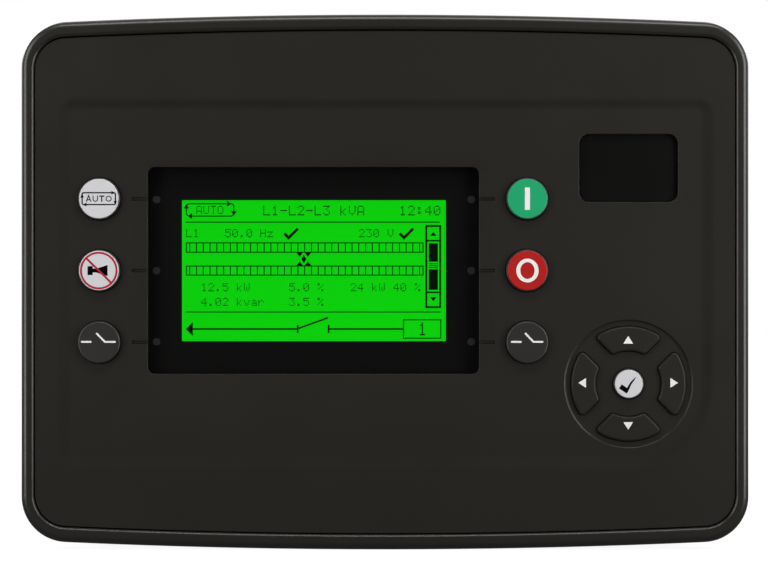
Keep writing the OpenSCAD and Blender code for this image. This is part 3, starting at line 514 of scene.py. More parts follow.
def arrow_outline(grow):
    """One arrow key about the pad's centre, pointing up."""
    s = sizes()
    corner = s.arrow_corner_r
    side = s.arrow_side + corner
    out = math.sqrt((s.arrow_r2 - corner) ** 2 - side ** 2)
    inn = math.sqrt((s.arrow_r1 + corner) ** 2 - side ** 2)
    h = math.sqrt(0.5)
    ox, oz = h * (out - side), h * (out + side)
    ix, iz = h * (inn - side), h * (inn + side)
    ao, ai = math.degrees(math.atan2(oz, ox)), math.degrees(math.atan2(iz, ix))
    r = corner + grow
    part_o, part_i = (90 - ao) / 8, (90 - ai) / 6
    return (arc(ix, iz, r, ai - 180, -45, 6)
            + arc(ox, oz, r, -45, ao, 9)
            + arc(0, 0, s.arrow_r2 + grow, ao + part_o, 180 - ao - part_o, 14)
            + arc(-ox, oz, r, 180 - ao, 225, 9)
            + arc(-ix, iz, r, 225, 360 - ai, 6)
            + arc(0, 0, s.arrow_r1 - grow, 180 - ai - part_i, ai + part_i, 10))


def stroke(points, width, round_ends=True):
    """The outline of a line of even width through some points."""
    half = width / 2
    steps = [(b[0] - a[0], b[1] - a[1]) for a, b in zip(points, points[1:])]
    units = [(x / math.hypot(x, z), z / math.hypot(x, z)) for x, z in steps]
    left, right = [], []
    for i, (x, z) in enumerate(points):
        a, b = units[max(i - 1, 0)], units[min(i, len(units) - 1)]
        nx, nz = -(a[1] + b[1]), a[0] + b[0]
        reach = 2 * half / (nx * nx + nz * nz)
        left.append((x + nx * reach, z + nz * reach))
        right.append((x - nx * reach, z - nz * reach))
    start, end = [], []
    if round_ends:
        first, last = (math.degrees(math.atan2(u[1], u[0])) for u in (units[0], units[-1]))
        end = arc(*points[-1], half, last + 90, last - 90, 10)[1:-1]
        start = arc(*points[0], half, first - 90, first - 270, 10)[1:-1]
    return left + end + right[::-1] + start


def bar(x0, x1, z0, z1):
    """A plain rectangle."""
    return [(x0, z0), (x1, z0), (x1, z1), (x0, z1)]


def notched_box(x, z, step):
    """A box about the origin, of half sizes x and z, with a square step cut from each corner."""
    corner = [(x, z - step), (x - step, z - step), (x - step, z)]
    half = corner + [(-px, pz) for px, pz in reversed(corner)]
    return half + [(-px, -pz) for px, pz in half]


# Meshes

class Shell:
    """A closed mesh under construction, made of rings of points, the walls between them and flat faces."""

    def __init__(self):
        self.bm = bmesh.new()

    def ring(self, outline, y):
        """A ring at one level, or at a level that depends on x."""
        return [self.bm.verts.new((x, y(x) if callable(y) else y, z)) for x, z in outline]

    def join(self, a, b):
        for i in range(len(a)):
            self.bm.faces.new((a[i - 1], a[i], b[i], b[i - 1]))

    def wall(self, levels):
        """Joins (outline, y) levels and gives back the first and the last ring."""
        rings = [self.ring(outline, y) for outline, y in levels]
        for a, b in zip(rings, rings[1:]):
            self.join(a, b)
        return rings[0], rings[-1]

    def solid(self, levels):
        """Joins levels and closes both ends."""
        for end in self.wall(levels):
            self.cap(end)

    def pierce(self, levels, fronts, backs):
        """Joins levels into the wall of a hole, and adds its ends to the rings of both faces."""
        first, last = self.wall(levels)
        fronts.append(first)
        backs.append(last)

    def flat(self, *rings):
        """Fills the first ring and leaves the others open in it."""
        edges = []
        for ring in rings:
            for i in range(len(ring)):
                pair = (ring[i - 1], ring[i])
                edges.append(self.bm.edges.get(pair) or self.bm.edges.new(pair))
        bmesh.ops.triangle_fill(self.bm, use_beauty=True, use_dissolve=False, edges=edges,
                                normal=(0, -1, 0))

    def cap(self, ring):
        self.bm.faces.new(ring)

    def mesh(self, name):
        open_edges = [e for e in self.bm.edges if len(e.link_faces) != 2]
        if open_edges:
            raise RuntimeError(f"{name} isn't closed: {len(open_edges)} open edges")
        bmesh.ops.recalc_face_normals(self.bm, faces=self.bm.faces)
        mesh = bpy.data.meshes.new(name)
        self.bm.to_mesh(mesh)
        self.bm.free()
        return mesh


def add_piece(name, mesh, slot, body=HOUSING, nodes=(), finish=None):
    """Puts a mesh in the scene with its finish, on the body that carries it."""
    mesh.materials.clear()
    mesh.materials.append(FINISHES[finish or slot])
    mesh.shade_smooth()
    mesh.set_sharp_from_angle(angle=SHARP)
    piece = bpy.data.objects.new(name, mesh)
    bpy.context.scene.collection.objects.link(piece)
    even = piece.modifiers.new("Even normals", "WEIGHTED_NORMAL")
    even.keep_sharp = True
    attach(piece, body)
    if nodes:
        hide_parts(*nodes)
    return piece


def hole_edge(outline, y, edge, steps=5):
    """Levels that turn from a flat face into the wall of a hole; outline(grow) draws the hole."""
    turns = [math.radians(90 * i / steps) for i in range(steps + 1)]
    return [(outline(edge * (1 - math.sin(t))), y + edge * (1 - math.cos(t))) for t in turns]


def boss_edge(outline, y, edge, steps=5):
    """Levels that turn from a flat top into the side of a boss; outline(grow) draws the boss."""
    return hole_edge(lambda grow: outline(-grow), y, edge, steps)


def print_marks(name, shapes, y, slot, body=HOUSING, finish="ink_white", lift=0.0):
    """Raised print on a face at y: outlines, or pairs of an outer and an inner one with as many points."""
    s = sizes()
    shell = Shell()
    for shape in shapes:
        rings = shape if isinstance(shape[0], list) else [shape]
        front = [shell.ring(r, y - s.print_t - lift) for r in rings]
        back = [shell.ring(r, y + s.print_t) for r in rings]
        for a, b in zip(front, back):
            shell.join(a, b)
        for face in (front, back):
            if len(face) == 2:
                shell.join(*face)
            else:
                shell.cap(face[0])
    return add_piece(name, shell.mesh(name), slot, body, finish=finish)


def centre(node):
    """Centre in X and Z, half width, and front level of a CAD node."""
    low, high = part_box(node)
    return (low.x + high.x) / 2, (low.z + high.z) / 2, (high.x - low.x) / 2, low.y


def boss_places():
    """Centres of the bosses for the front board's screws."""
    s = sizes()
    _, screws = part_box("front_pcb_screws")
    boss_x, boss_z = screws.x - s.board_head_r, screws.z - s.board_head_r
    return [(x, z) for x in (-boss_x, s.boss_mid, boss_x) for z in (-boss_z, boss_z)]


def stem_places():
    """Centre of every key's stem, by the key's name."""
    s = sizes()
    places = {key: centre(f"{key}_key")[:2] for key in ROUND_KEYS + ("accept",)}
    for key, degrees in ARROW_KEYS.items():
        places[key] = turned([(0, (s.arrow_r1 + s.arrow_r2) / 2)], *places["accept"], degrees)[0]
    return places


def node_box(node, grow=0.0):
    low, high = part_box(node)
    return low.x - grow, high.x + grow, low.z - grow, high.z + grow


# Pieces

def fascia_levels():
    """Levels of the fascia's border, the recess floor, the dish floor and the rear face."""
    s = sizes()
    top = bezel_size()[2] + s.rim_rise
    floor = top + s.recess_depth
    return top, floor, floor + s.dish_depth, floor + s.fascia_wall


class BuildBezel(bpy.types.Operator):
    """Raised rim swept round the bowed outline, with the flange and the posts behind the fascia"""

    bl_idname = "controller.bezel"
    bl_label = "Bezel"

    rear_edge = 0.8 * MM

    def execute(self, context):
        s = sizes()
        _, _, crest, back = bezel_size()
        front = back - s.flange_t
        post_y = fascia_levels()[3] + s.collar_gap
        section = ([(s.rim_w, front)]
                   + arc(s.rim_w - s.rim_inner_r, crest + s.rim_inner_r, s.rim_inner_r, 360, 270, 8)
                   + arc(s.rim_outer_r, crest + s.rim_outer_r, s.rim_outer_r, 270, 180, 10)
                   + [(0, back - self.rear_edge), (self.rear_edge, back)])
        shell = Shell()
        inner, outer = shell.wall([(bow_outline(inset), y) for inset, y in section])
        cut_front, cut_back = shell.wall([(self.cutout(), front), (self.cutout(), back)])
        fronts, backs = [inner, cut_front], [outer, cut_back]
        for x, z in self.post_places():
            foot, top = shell.wall([(circle(x, z, s.post_r), front), (circle(x, z, s.post_r), post_y)])
            shell.cap(top)
            fronts.append(foot)
            bore = circle(x, z, s.post_bore_r, NARROW)
            mouth, end = shell.wall([(bore, back), (bore, post_y + s.collar_gap)])
            shell.cap(end)
            backs.append(mouth)
        shell.flat(*fronts)
        shell.flat(*backs)
        add_piece("bezel", shell.mesh("bezel"), "moulded_housing", nodes=["bezel_frame"])
        return {"FINISHED"}

    def cutout(self):
        """The flange's opening: the front board's outline with its notched corners."""
        s = sizes()
        _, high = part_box("front_pcb")
        margin = s.flange_margin
        return notched_box(high.x + margin, high.z + margin, s.notch + margin)

    def post_places(self):
        s = sizes()
        _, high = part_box("rear_case")
        x, z = high.x - s.screw_inset, high.z - s.screw_inset
        return [(i * x, j * z) for i in (-1, 1) for j in (-1, 1)]


class BuildFascia(bpy.types.Operator):
    """Fascia with its soft recess, window bevel, key holes, dish and badge pocket"""

    bl_idname = "controller.fascia"
    bl_label = "Fascia"

    outer_edge = 0.15 * MM
    hole_round = 0.15 * MM
    dish_round = 0.4 * MM
    arrow_round = 0.15 * MM
    badge_round = 0.12 * MM
    badge_r = 3.4 * MM
    window_round = 0.1 * MM
    slope_steps = 12
    # Fillet at the foot of the dish's wall, as insets and heights over the floor in millimetres
    dish_fillet = ((0.04, 0.2), (0.12, 0.08), (0.25, 0.0))
    overrun = 1.0 * MM

    def execute(self, context):
        s = sizes()
        half_w, half_h, _, back = bezel_size()
        top, floor, dish, rear = fascia_levels()
        skirt_end = back - s.flange_t
        inset = s.rim_w + s.groove
        pad_x, pad_z, accept_r, _ = centre("accept_key")
        accept_r -= s.collar
        shell = Shell()

        # Outer skirt and the flat border
        skirt = boss_edge(lambda grow: bow_outline(inset - grow), top, self.outer_edge)
        border, skirt_out = shell.wall(skirt + [(bow_outline(inset), skirt_end)])
        skirt_in, rear_ring = shell.wall([(bow_outline(inset + s.skirt_t), skirt_end),
                                          (bow_outline(inset + s.skirt_t), rear)])
        shell.join(skirt_out, skirt_in)

        # Broad recess with an S-shaped wall
        box = (s.recess_left - half_w, pad_x + s.pad_recess_r,
               pad_z - s.pad_recess_r, half_h - s.recess_top)
        radii = (s.recess_corner_r, s.recess_corner_r, s.recess_corner_r, s.pad_recess_r)
        slope = []
        for i in range(self.slope_steps + 1):
            t = i / self.slope_steps
            drop = s.recess_depth * t * t * (3 - 2 * t)
            slope.append((round_box(box, radii, -s.recess_slope * t), top + drop))
        recess_out, recess_in = shell.wall(slope)
        shell.flat(border, recess_out)

        # Round holes for the keys
        openings, rear_holes = [], []
        for key in ROUND_KEYS:
            x, z, r, _ = centre(f"{key}_key")
            hole_r = r - s.collar + s.key_gap
            levels = hole_edge(lambda grow: circle(x, z, hole_r + grow), floor, self.hole_round)
            shell.pierce(levels + [(circle(x, z, hole_r), rear)], openings, rear_holes)

        # Window: bevel, edge, wall down to the pane and the seat behind it
        pane = node_box("display_window", -s.pane_lap)
        even = [s.window_r] * 4
        pane_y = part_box("display_window")[0].y
        edge_y = floor + s.bevel_depth
        levels = [(round_box(pane, even, s.bevel_w), floor),
                  (round_box(pane, even, self.window_round), edge_y)]
        levels += hole_edge(lambda grow: round_box(pane, even, grow), edge_y, self.window_round)[1:]
        levels += [(round_box(pane, even), pane_y), (round_box(pane, even, s.pane_lap), pane_y),
                   (round_box(pane, even, s.pane_lap), rear)]
        shell.pierce(levels, openings, rear_holes)

        # Badge pocket with its soft edge
        badge = node_box("badge_plate", s.badge_gap)
        badge_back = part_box("badge_plate")[1].y
        corners = [self.badge_r] * 4
        levels = hole_edge(lambda grow: round_box(badge, corners, grow), floor, self.badge_round)
        first, last = shell.wall(levels + [(round_box(badge, corners), badge_back)])
        openings.append(first)
        shell.cap(last)

        # Dish of the pad
        levels = hole_edge(lambda grow: circle(pad_x, pad_z, s.dish_r + grow, BROAD), floor, self.dish_round)
        foot = [(circle(pad_x, pad_z, s.dish_r - setback * MM, BROAD), dish - height * MM)
                for setback, height in self.dish_fillet]
        first, dish_ring = shell.wall(levels + foot)
        openings.append(first)
        shell.flat(recess_in, *openings)

        # Holes in the dish
        openings = []
        hole_r = accept_r + s.key_gap

        def arrow_hole(degrees):
            return lambda grow: turned(arrow_outline(s.arrow_gap + grow), pad_x, pad_z, degrees)

        outlines = [lambda grow: circle(pad_x, pad_z, hole_r + grow)]
        outlines += [arrow_hole(degrees) for degrees in ARROW_KEYS.values()]
        for outline in outlines:
            levels = hole_edge(outline, dish, self.arrow_round) + [(outline(0), rear)]
            shell.pierce(levels, openings, rear_holes)
        shell.flat(dish_ring, *openings)

        # Bosses for the front board's screws
        board_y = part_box("front_pcb")[0].y
        for x, z in boss_places():
            boss, bore = circle(x, z, s.boss_r, SMALL), circle(x, z, s.boss_bore_r, SMALL)
            foot, end = shell.wall([(boss, rear), (boss, board_y), (bore, board_y), (bore, rear)])
            shell.cap(end)
            rear_holes.append(foot)
        shell.flat(rear_ring, *rear_holes)

        mesh = self.cut_lead_marks(shell.mesh("fascia"), pane, floor)
        add_piece("fascia", mesh, "moulded_housing", nodes=["fascia_panel"])
        return {"FINISHED"}

    def cut_lead_marks(self, mesh, pane, floor):
        """Cuts the fine grooves that outline a mark across the bevel from each key towards its lamp."""
        s = sizes()
        line, half, reach = s.mark_line, s.mark_w / 2, s.bevel_w + s.mark_line
        cutter = Shell()
        for key in ROUND_KEYS[:3]:
            z = centre(f"{key}_key")[1]
            for edge, side in ((pane[0], -1), (pane[1], 1)):
                inside, outside = edge - side * self.overrun, edge + side * reach
                end = outside - side * line
                outline = [(inside, z - half), (outside, z - half), (outside, z + half), (inside, z + half),
                           (inside, z + half - line), (end, z + half - line), (end, z - half + line),
                           (inside, z - half + line)]

                def bottom(x, edge=edge, side=side):
                    down_bevel = (edge + side * s.bevel_w - x) * side / s.bevel_w
                    return floor + s.mark_depth + s.bevel_depth * down_bevel

                cutter.solid([(outline, floor - self.overrun), (outline, bottom)])
        scene = bpy.context.scene.collection.objects
        body = bpy.data.objects.new("fascia_blank", mesh)
        tool = bpy.data.objects.new("lead_mark_cutter", cutter.mesh("lead_mark_cutter"))
        scene.link(body)
        scene.link(tool)
        cut = body.modifiers.new("Lead marks", "BOOLEAN")
        cut.operation = "DIFFERENCE"
        cut.solver = "EXACT"
        cut.object = tool
        graph = bpy.context.evaluated_depsgraph_get()
        result = bpy.data.meshes.new_from_object(body.evaluated_get(graph))
        result.name = "fascia"
        for used in (body, tool):
            old = used.data
            bpy.data.objects.remove(used)
            bpy.data.meshes.remove(old)
        return result


class BuildBadge(bpy.types.Operator):
    """Bare gloss inlay in the badge pocket"""

    bl_idname = "controller.badge"
    bl_label = "Badge inlay"

    corner_r = 3.2 * MM
    edge = 0.15 * MM

    def execute(self, context):
        low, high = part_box("badge_plate")
        box = node_box("badge_plate")
        corners = [self.corner_r] * 4
        shell = Shell()
        levels = boss_edge(lambda grow: round_box(box, corners, grow), low.y, self.edge)
        shell.solid(levels + [(round_box(box, corners), high.y)])
        add_piece("badge_inlay", shell.mesh("badge_inlay"), "badge_gloss", nodes=["badge_plate"])
        return {"FINISHED"}


class BuildRoundKeys(bpy.types.Operator):
    """Round keys with their collars and stems, and the coloured caps on them"""

    bl_idname = "controller.round_keys"
    bl_label = "Round keys"

    def execute(self, context):
        s = sizes()
        for key in ROUND_KEYS + ("accept",):
            node = f"{key}_key"
            x, z, collar_r, top = centre(node)
            r = collar_r - s.collar
            collar_y = fascia_levels()[3] + s.collar_gap
            collar_back = collar_y + s.collar_t
            edge = s.capped_edge if key in CAPS else s.key_edge
            shell = Shell()
            levels = boss_edge(lambda grow: circle(x, z, r + grow), top, edge, 7)
            levels += [(circle(x, z, r), collar_y), (circle(x, z, collar_r), collar_y),
                       (circle(x, z, collar_r), collar_back), (circle(x, z, s.stem_r), collar_back),
                       (circle(x, z, s.stem_r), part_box(node)[1].y)]
            shell.solid(levels)
            body = f"{key}_button"
            add_piece(f"{key}_button_body", shell.mesh(node), "key_dark", body, [node])
            if key in CAPS:
                self.add_cap(key, body)
        return {"FINISHED"}

    def add_cap(self, key, body):
        """The coloured disc let into a key's top."""
        node = f"{key}_face"
        x, z, r, top = centre(node)
        shell = Shell()
        levels = boss_edge(lambda grow: circle(x, z, r + grow), top, sizes().cap_edge, 6)
        shell.solid(levels + [(circle(x, z, r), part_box(node)[1].y)])
        add_piece(f"{key}_button_cap", shell.mesh(node), CAPS[key], body, [node])


class BuildArrowKeys(bpy.types.Operator):
    """The four arrow keys of the pad"""

    bl_idname = "controller.arrow_keys"
    bl_label = "Arrow keys"

    def execute(self, context):
        s = sizes()
        pad_x, pad_z, _, _ = centre("accept_key")
        collar_y = fascia_levels()[3] + s.collar_gap
        collar_back = collar_y + s.collar_t
        collar_grow = s.arrow_gap + s.collar / 4
        for key, degrees in ARROW_KEYS.items():
            node = f"{key}_key"
            low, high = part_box(node)

            def outline(grow):
                return turned(arrow_outline(grow), pad_x, pad_z, degrees)

            shell = Shell()
            levels = boss_edge(outline, low.y, s.arrow_edge, 7)
            levels += [(outline(0), collar_y), (outline(collar_grow), collar_y),
                       (outline(collar_grow), collar_back)]
            first, last = shell.wall(levels)
            shell.cap(first)
            stem = circle(*stem_places()[key], s.stem_r, SMALL)
            root, tip = shell.wall([(stem, collar_back), (stem, high.y)])
            shell.flat(last, root)
            shell.cap(tip)
            body = f"{key}_button"
            add_piece(f"{key}_button_body", shell.mesh(node), "key_dark", body, [node], "key_pad")
        return {"FINISHED"}


class BuildKeymat(bpy.types.Operator):
    """Silicone mat behind the fascia, with a dome under every key"""

    bl_idname = "controller.keymat"
    bl_label = "Keymat"

    sheet_t = 1.0 * MM
    crown_t = 0.8 * MM
    clear = 0.4 * MM
    lamp_foot_r = 1.98 * MM
    # A dome's hollow is narrower than the stem, and its wall thickens from the crown to the foot
    hollow_inset = 0.9 * MM
    crown_wall = 0.7 * MM
    foot_wall = 1.5 * MM

    def execute(self, context):
        low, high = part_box("keymat")
        sheet_y = high.y - self.sheet_t
        hollow_r = sizes().stem_r - self.hollow_inset
        stems = stem_places()
        shell = Shell()
        fronts, backs = [], []
        for outline in self.openings() + [circle(x, z, hollow_r, SMALL) for x, z in stems.values()]:
            shell.pierce([(outline, sheet_y), (outline, high.y)], fronts, backs)
        shell.flat(*fronts)
        shell.flat(*backs)
        add_piece("keymat_sheet", shell.mesh("keymat_sheet"), "silicone", nodes=["keymat"])
        for key, (x, z) in stems.items():
            dome = add_piece(f"{key}_dome", self.dome(x, z, low.y, sheet_y, hollow_r), "silicone")
            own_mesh(dome)
        return {"FINISHED"}

    def openings(self):
        """The sheet's outline, and its holes round the display, the lamps' rods and the bosses."""
        s = sizes()
        _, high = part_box("keymat")
        outlines = [notched_box(high.x, high.z, s.notch),
                    round_box(node_box("lcd_frame", self.clear), [self.clear] * 4, steps=4)]
        left, right, bottom, top = node_box("light_pipes", -self.lamp_foot_r)
        hole_r = self.lamp_foot_r + self.clear
        rows = (bottom, (bottom + top) / 2, top)
        outlines += [circle(x, z, hole_r, SMALL) for x in (left, right) for z in rows]
        return outlines + [circle(x, z, s.boss_r + self.clear, SMALL) for x, z in boss_places()]

    def dome(self, x, z, crown_y, sheet_y, hollow_r):
        """A cup whose crown meets the stem and whose foot stands on the sheet."""
        section = ((hollow_r + self.crown_wall, crown_y), (hollow_r + self.foot_wall, sheet_y),
                   (hollow_r, sheet_y), (hollow_r, crown_y + self.crown_t))
        cup = Shell()
        cup.solid([(circle(x, z, r, SMALL), y) for r, y in section])
        return cup.mesh("dome")


class BuildLegends(bpy.types.Operator):
    """Printed symbols on the keys"""

    bl_idname = "controller.legends"
    bl_label = "Key symbols"

    def execute(self, context):
        self.mode_legend()
        self.mute_legend()
        self.breaker_legends()
        self.start_and_stop_legends()
        self.pad_legends()
        return {"FINISHED"}

    def mark(self, name, key, shapes, finish="ink_white", lift=0.0):
        """Prints shapes, drawn in millimetres about the origin, on the middle of a key's face."""
        x, z, _, y = centre(f"{key}_face" if key in CAPS else f"{key}_key")

        def place(outline):
            return [(x + px * MM, z + pz * MM) for px, pz in outline]

        placed = [[place(ring) for ring in shape] if isinstance(shape[0], list) else place(shape)
                  for shape in shapes]
        print_marks(name, placed, y, CAPS.get(key, "key_dark"), f"{key}_button", finish, lift)

    def mode_legend(self):
        """A box of four arrows that chase each other round a short word."""
        half_w, half_h, line, corners = 5.8, 2.2, 0.42, [0.8] * 4
        box = (-half_w, half_w, -half_h, half_h)
        ring = [round_box(box, corners, grow, steps=6) for grow in (0.0, -line)]
        self.mark("mode_box", "mode", [ring], "ink_dark")
        head = [(-0.55, -0.6), (0.75, 0.0), (-0.55, 0.6)]
        mid = line / 2
        heads = [turned(head, 4.8, half_h - mid, 0), turned(head, half_w - mid, -1.35, -90),
                 turned(head, -4.7, mid - half_h, 180), turned(head, mid - half_w, 0.95, 90)]
        pen = 0.3
        letter_a = [stroke([(-4.2, -1.05), (-3.4, 1.05), (-2.6, -1.05)], pen, False),
                    bar(-3.85, -2.95, -0.55, -0.2)]
        letter_u = [stroke([(-1.9, 1.05), (-1.9, -0.3), (-1.65, -0.75), (-1.15, -0.9), (-0.65, -0.75),
                            (-0.4, -0.3), (-0.4, 1.05)], pen, False)]
        letter_t = [bar(0.15, 1.85, 0.65, 1.05), bar(0.8, 1.2, -1.05, 0.65)]
        letter_o = [[circle(3.3, 0, 1.0, NARROW), circle(3.3, 0, 1.0 - pen, NARROW)]]
        word = letter_a + letter_u + letter_t + letter_o
        self.mark("mode_word", "mode", heads + word, "ink_dark", LIFT)

    def mute_legend(self):
        """A horn behind a thin ring and bar."""
        horn = [(-3.75, 1.5), (-2.05, 1.5), (-2.05, 0.65), (-1.0, 0.6), (2.95, 1.85), (2.95, -1.85),
                (-1.0, -0.6), (-2.05, -0.65), (-2.05, -1.5), (-3.75, -1.5)]
        ring = [circle(0, 0, 6.3), circle(0, 0, 5.65)]
        slash = stroke([(-4.2, 4.15), (4.2, -4.15)], 0.68, False)
        self.mark("mute_horn", "mute", [horn], "ink_dark")
        self.mark("mute_ring", "mute", [ring], "ink_red", LIFT)
        self.mark("mute_bar", "mute", [slash], "ink_red", 2 * LIFT)

    def breaker_legends(self):
        """A contact arm that stands open between two leads."""
        pen, rise = 0.62, 0.18
        for key, start, end in (("close_breaker", -5.7, 5.4), ("open_breaker", -5.25, 5.0)):
            lead = stroke([(start, rise), (start + 3.0, rise)], pen)
            arm = stroke([(-0.65, rise + 2.8), (2.05, rise), (end, rise)], pen)
            self.mark(f"{key}_symbol", key, [lead, arm])

    def start_and_stop_legends(self):
        """An upright bar to start and an oval ring to stop."""
        self.mark("start_symbol", "start", [bar(-0.85, 0.85, -3.75, 3.75)])
        oval = [[(x * w, z * h) for x, z in circle(0, 0, 1)] for w, h in ((3.75, 4.0), (2.4, 2.82))]
        self.mark("stop_symbol", "stop", [oval])

    def pad_legends(self):
        """Triangles on the arrow keys and a tick on the accept key."""
        pad_x, pad_z, _, _ = centre("accept_key")
        half_w, base, tip = 1.62 * MM, -1.05 * MM, 1.55 * MM
        shift_x, shift_z = -0.25 * MM, 0.35 * MM
        reach = {"up": 14.25 * MM, "down": 14.25 * MM, "left": 15.25 * MM, "right": 15.25 * MM}
        for key, degrees in ARROW_KEYS.items():
            r = reach[key]
            triangle = [(-half_w, r + base), (half_w, r + base), (0.0, r + tip)]
            shapes = [turned(triangle, pad_x + shift_x, pad_z + shift_z, degrees)]
            print_marks(f"{key}_symbol", shapes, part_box(f"{key}_key")[0].y, "key_dark", f"{key}_button")
        tick = [(-2.4, -0.15), (-3.35, -1.5), (-0.8, -3.25), (-0.3, -2.6), (0.75, -0.3), (2.37, 2.13),
                (2.07, 2.18), (0.45, 0.5), (-0.63, -1.38)]
        self.mark("accept_symbol", "accept", [tick], "ink_dark")


# Dots of the display's letters, seven rows of five from the top, one hexadecimal pair each
GLYPHS = {
    "0": "0E11131519110E", "1": "040C040404040E", "2": "0E11010204081F", "4": "02060A121F0202",
    "5": "1F101E0101110E", ".": "00000000000C0C", ":": "000C0C000C0C00", "%": "18190204081303",
    "-": "0000001F000000", "A": "0E1111111F1111", "H": "1111111F111111", "L": "1010101010101F",
    "N": "11111915131111", "O": "0E11111111110E", "T": "1F040404040404", "U": "1111111111110E",
    "V": "11111111110A04", "W": "1111111515150A", "a": "00000E010F110F", "k": "10101214181412",
    "r": "00001619101010", "v": "000011110A0A04", "z": "00001F0204081F", "3": "1F02040201110E",
}


class BuildDisplay(bpy.types.Operator):
    """Dark dots of the display: a title line, readings, two bars and a one-line diagram"""

    bl_idname = "controller.display"
    bl_label = "Display"

    columns = 240
    letter_gap = 0.13
    # Each text, its upper left corner and the size of its dots, all in dots of the display
    small, tall, large = 1.08, 1.3, 1.7
    words = (("AUTO", 12.8, 5, small), ("L1-L2-L3 kVA", 73.6, 4.8, tall), ("12:40", 197.6, 4.8, tall),
             ("L1", 3.6, 26.2, small), ("50.0", 39, 26.2, small), ("Hz", 71, 26.2, small),
             ("230", 161, 26.2, small), ("V", 187, 26.2, small), ("12.5 kW", 17.3, 75.4, small),
             ("5.0 %", 97.3, 75.4, small), ("24 kW 40 %", 153.3, 75.4, small),
             ("4.02 kvar", 17.3, 88.7, small), ("3.5 %", 97.3, 88.7, small), ("1", 214.5, 111.2, large))

    def execute(self, context):
        s = sizes()
        low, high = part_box("lcd_glass")
        self.left, self.top = low.x + s.lcd_border, high.z - s.lcd_border
        self.dot = (high.x - low.x - 2 * s.lcd_border) / self.columns
        fine = self.lines() + self.gauge(38.3, 46.8) + self.gauge(59.4, 67.6)
        for text, x, y, size in self.words:
            fine += self.word(text, x, y, size)
        print_marks("display_fine", fine, low.y, "lcd_green", finish="display_dots")
        print_marks("display_bold", self.bold(), low.y, "lcd_green", finish="display_dots", lift=LIFT)
        return {"FINISHED"}

    def box(self, x0, x1, y0, y1, g=0.02):
        """A filled block given in dots from the display's upper left corner, set in by a narrow gap."""
        return self.shape([(x0 + g, y1 - g), (x1 - g, y1 - g), (x1 - g, y0 + g), (x0 + g, y0 + g)])

    def shape(self, points):
        """Points given in dots from the display's upper left corner."""
        return [(self.left + x * self.dot, self.top - y * self.dot) for x, y in points]

    def word(self, text, x, y, size):
        """A text of five by seven dots a letter, one block for each run of dots."""
        blocks = []
        for i, letter in enumerate(text):
            for row in range(7 if letter != " " else 0):
                bits = int(GLYPHS[letter][2 * row:2 * row + 2], 16)
                col = 0
                while col < 5:
                    run = 0
                    while col + run < 5 and bits >> (4 - col - run) & 1:
                        run += 1
                    if run:
                        x0, y0 = x + size * (6 * i + col), y + size * row
                        blocks.append(self.box(x0, x0 + size * run, y0, y0 + size, self.letter_gap))
                    col += run + 1
        return blocks

    def gauge(self, y0, y1):
        """A bar of narrow cells, the end ones half as wide."""
        x0, x1, cells = 3.4, 218.8, 35
        step = (x1 - x0) / cells
        marks = [x0] + [x0 + step * (i + 0.5) for i in range(cells)] + [x1]
        blocks = [self.box(x0, x1 + 1, y0, y0 + 1), self.box(x0, x1 + 1, y1, y1 + 1)]
        return blocks + [self.box(x, x + 1, y0 + 1, y1) for x in marks]

    def lines(self):
        """Rules, the framed word's outline, the scroll bar's frame and the diagram's box."""
        frame_ring = [self.shape(round_box((3.4, 47.6, 2.7, 14.9), [3.2] * 4, g, 5)) for g in (0, -1)]
        box_ring = [self.shape(p) for p in (bar(201, 236, 108.3, 126), bar(202, 235, 109.3, 125))]
        rules = [self.box(3.4, 234.5, 19.4, 20.4), self.box(3.4, 235.5, 101.2, 102.2)]
        return rules + [frame_ring, box_ring]

    def bold(self):
        """Arrowheads, ticks, the centre marker, the scroll bar's blocks and the diagram's lines."""
        shapes = []
        for x, y, dx, dy in ((41, 3.2, 1, 0), (47.1, 10, 0, 1), (9, 14.4, -1, 0), (3.9, 7.5, 0, -1)):
            long, wide = 4, 2.6
            shapes.append(self.shape([(x + long * dx, y + long * dy), (x - wide * dy, y + wide * dx),
                                      (x + wide * dy, y - wide * dx)]))
        for x in (93, 198):
            tick = [(x, 30.2), (x + 4, 34.2), (x + 12.4, 25.8)]
            shapes.append(self.shape(stroke(tick, 2.6, False)))
        for x in (107, 114.5):
            shapes.append(self.shape([(x - 3.2, 47.6), (x + 3.2, 47.6), (x, 51.4)]))
            shapes.append(self.shape([(x - 3.2, 59.4), (x, 55.6), (x + 3.2, 59.4)]))
        shapes.append(self.shape([(110.8, 49.6), (113.2, 53.5), (110.8, 57.4), (108.4, 53.5)]))
        scroll_frame = (bar(221.4, 235.8, 22.5, 98.2), bar(223.2, 234, 24.3, 96.4))
        shapes.append([self.shape(p) for p in scroll_frame])
        shapes += [self.box(223.2, 234, 36, 37.6), self.box(223.2, 234, 83, 84.6),
                   self.box(224.4, 232.9, 39, 56), self.box(224.4, 232.9, 62.8, 81.6)]
        shapes += [self.box(224.4, 232.9, y, y + 0.8) for y in (57.4, 59.2, 61)]
        shapes.append(self.shape([(225.6, 32.4), (231.6, 32.4), (228.6, 28.6)]))
        shapes.append(self.shape([(225.6, 88.2), (228.6, 92), (231.6, 88.2)]))
        shapes.append(self.shape([(3.4, 117.2), (9.8, 110.8), (9.8, 123.6)]))
        shapes += [self.box(9.6, 105, 116.4, 118), self.box(133.4, 201, 116.4, 118),
                   self.box(104.4, 106, 113.4, 121), self.box(132.6, 134.2, 113.4, 121)]
        shapes.append(self.shape(stroke([(106, 116.6), (132.8, 106.9)], 1.6, False)))
        return shapes


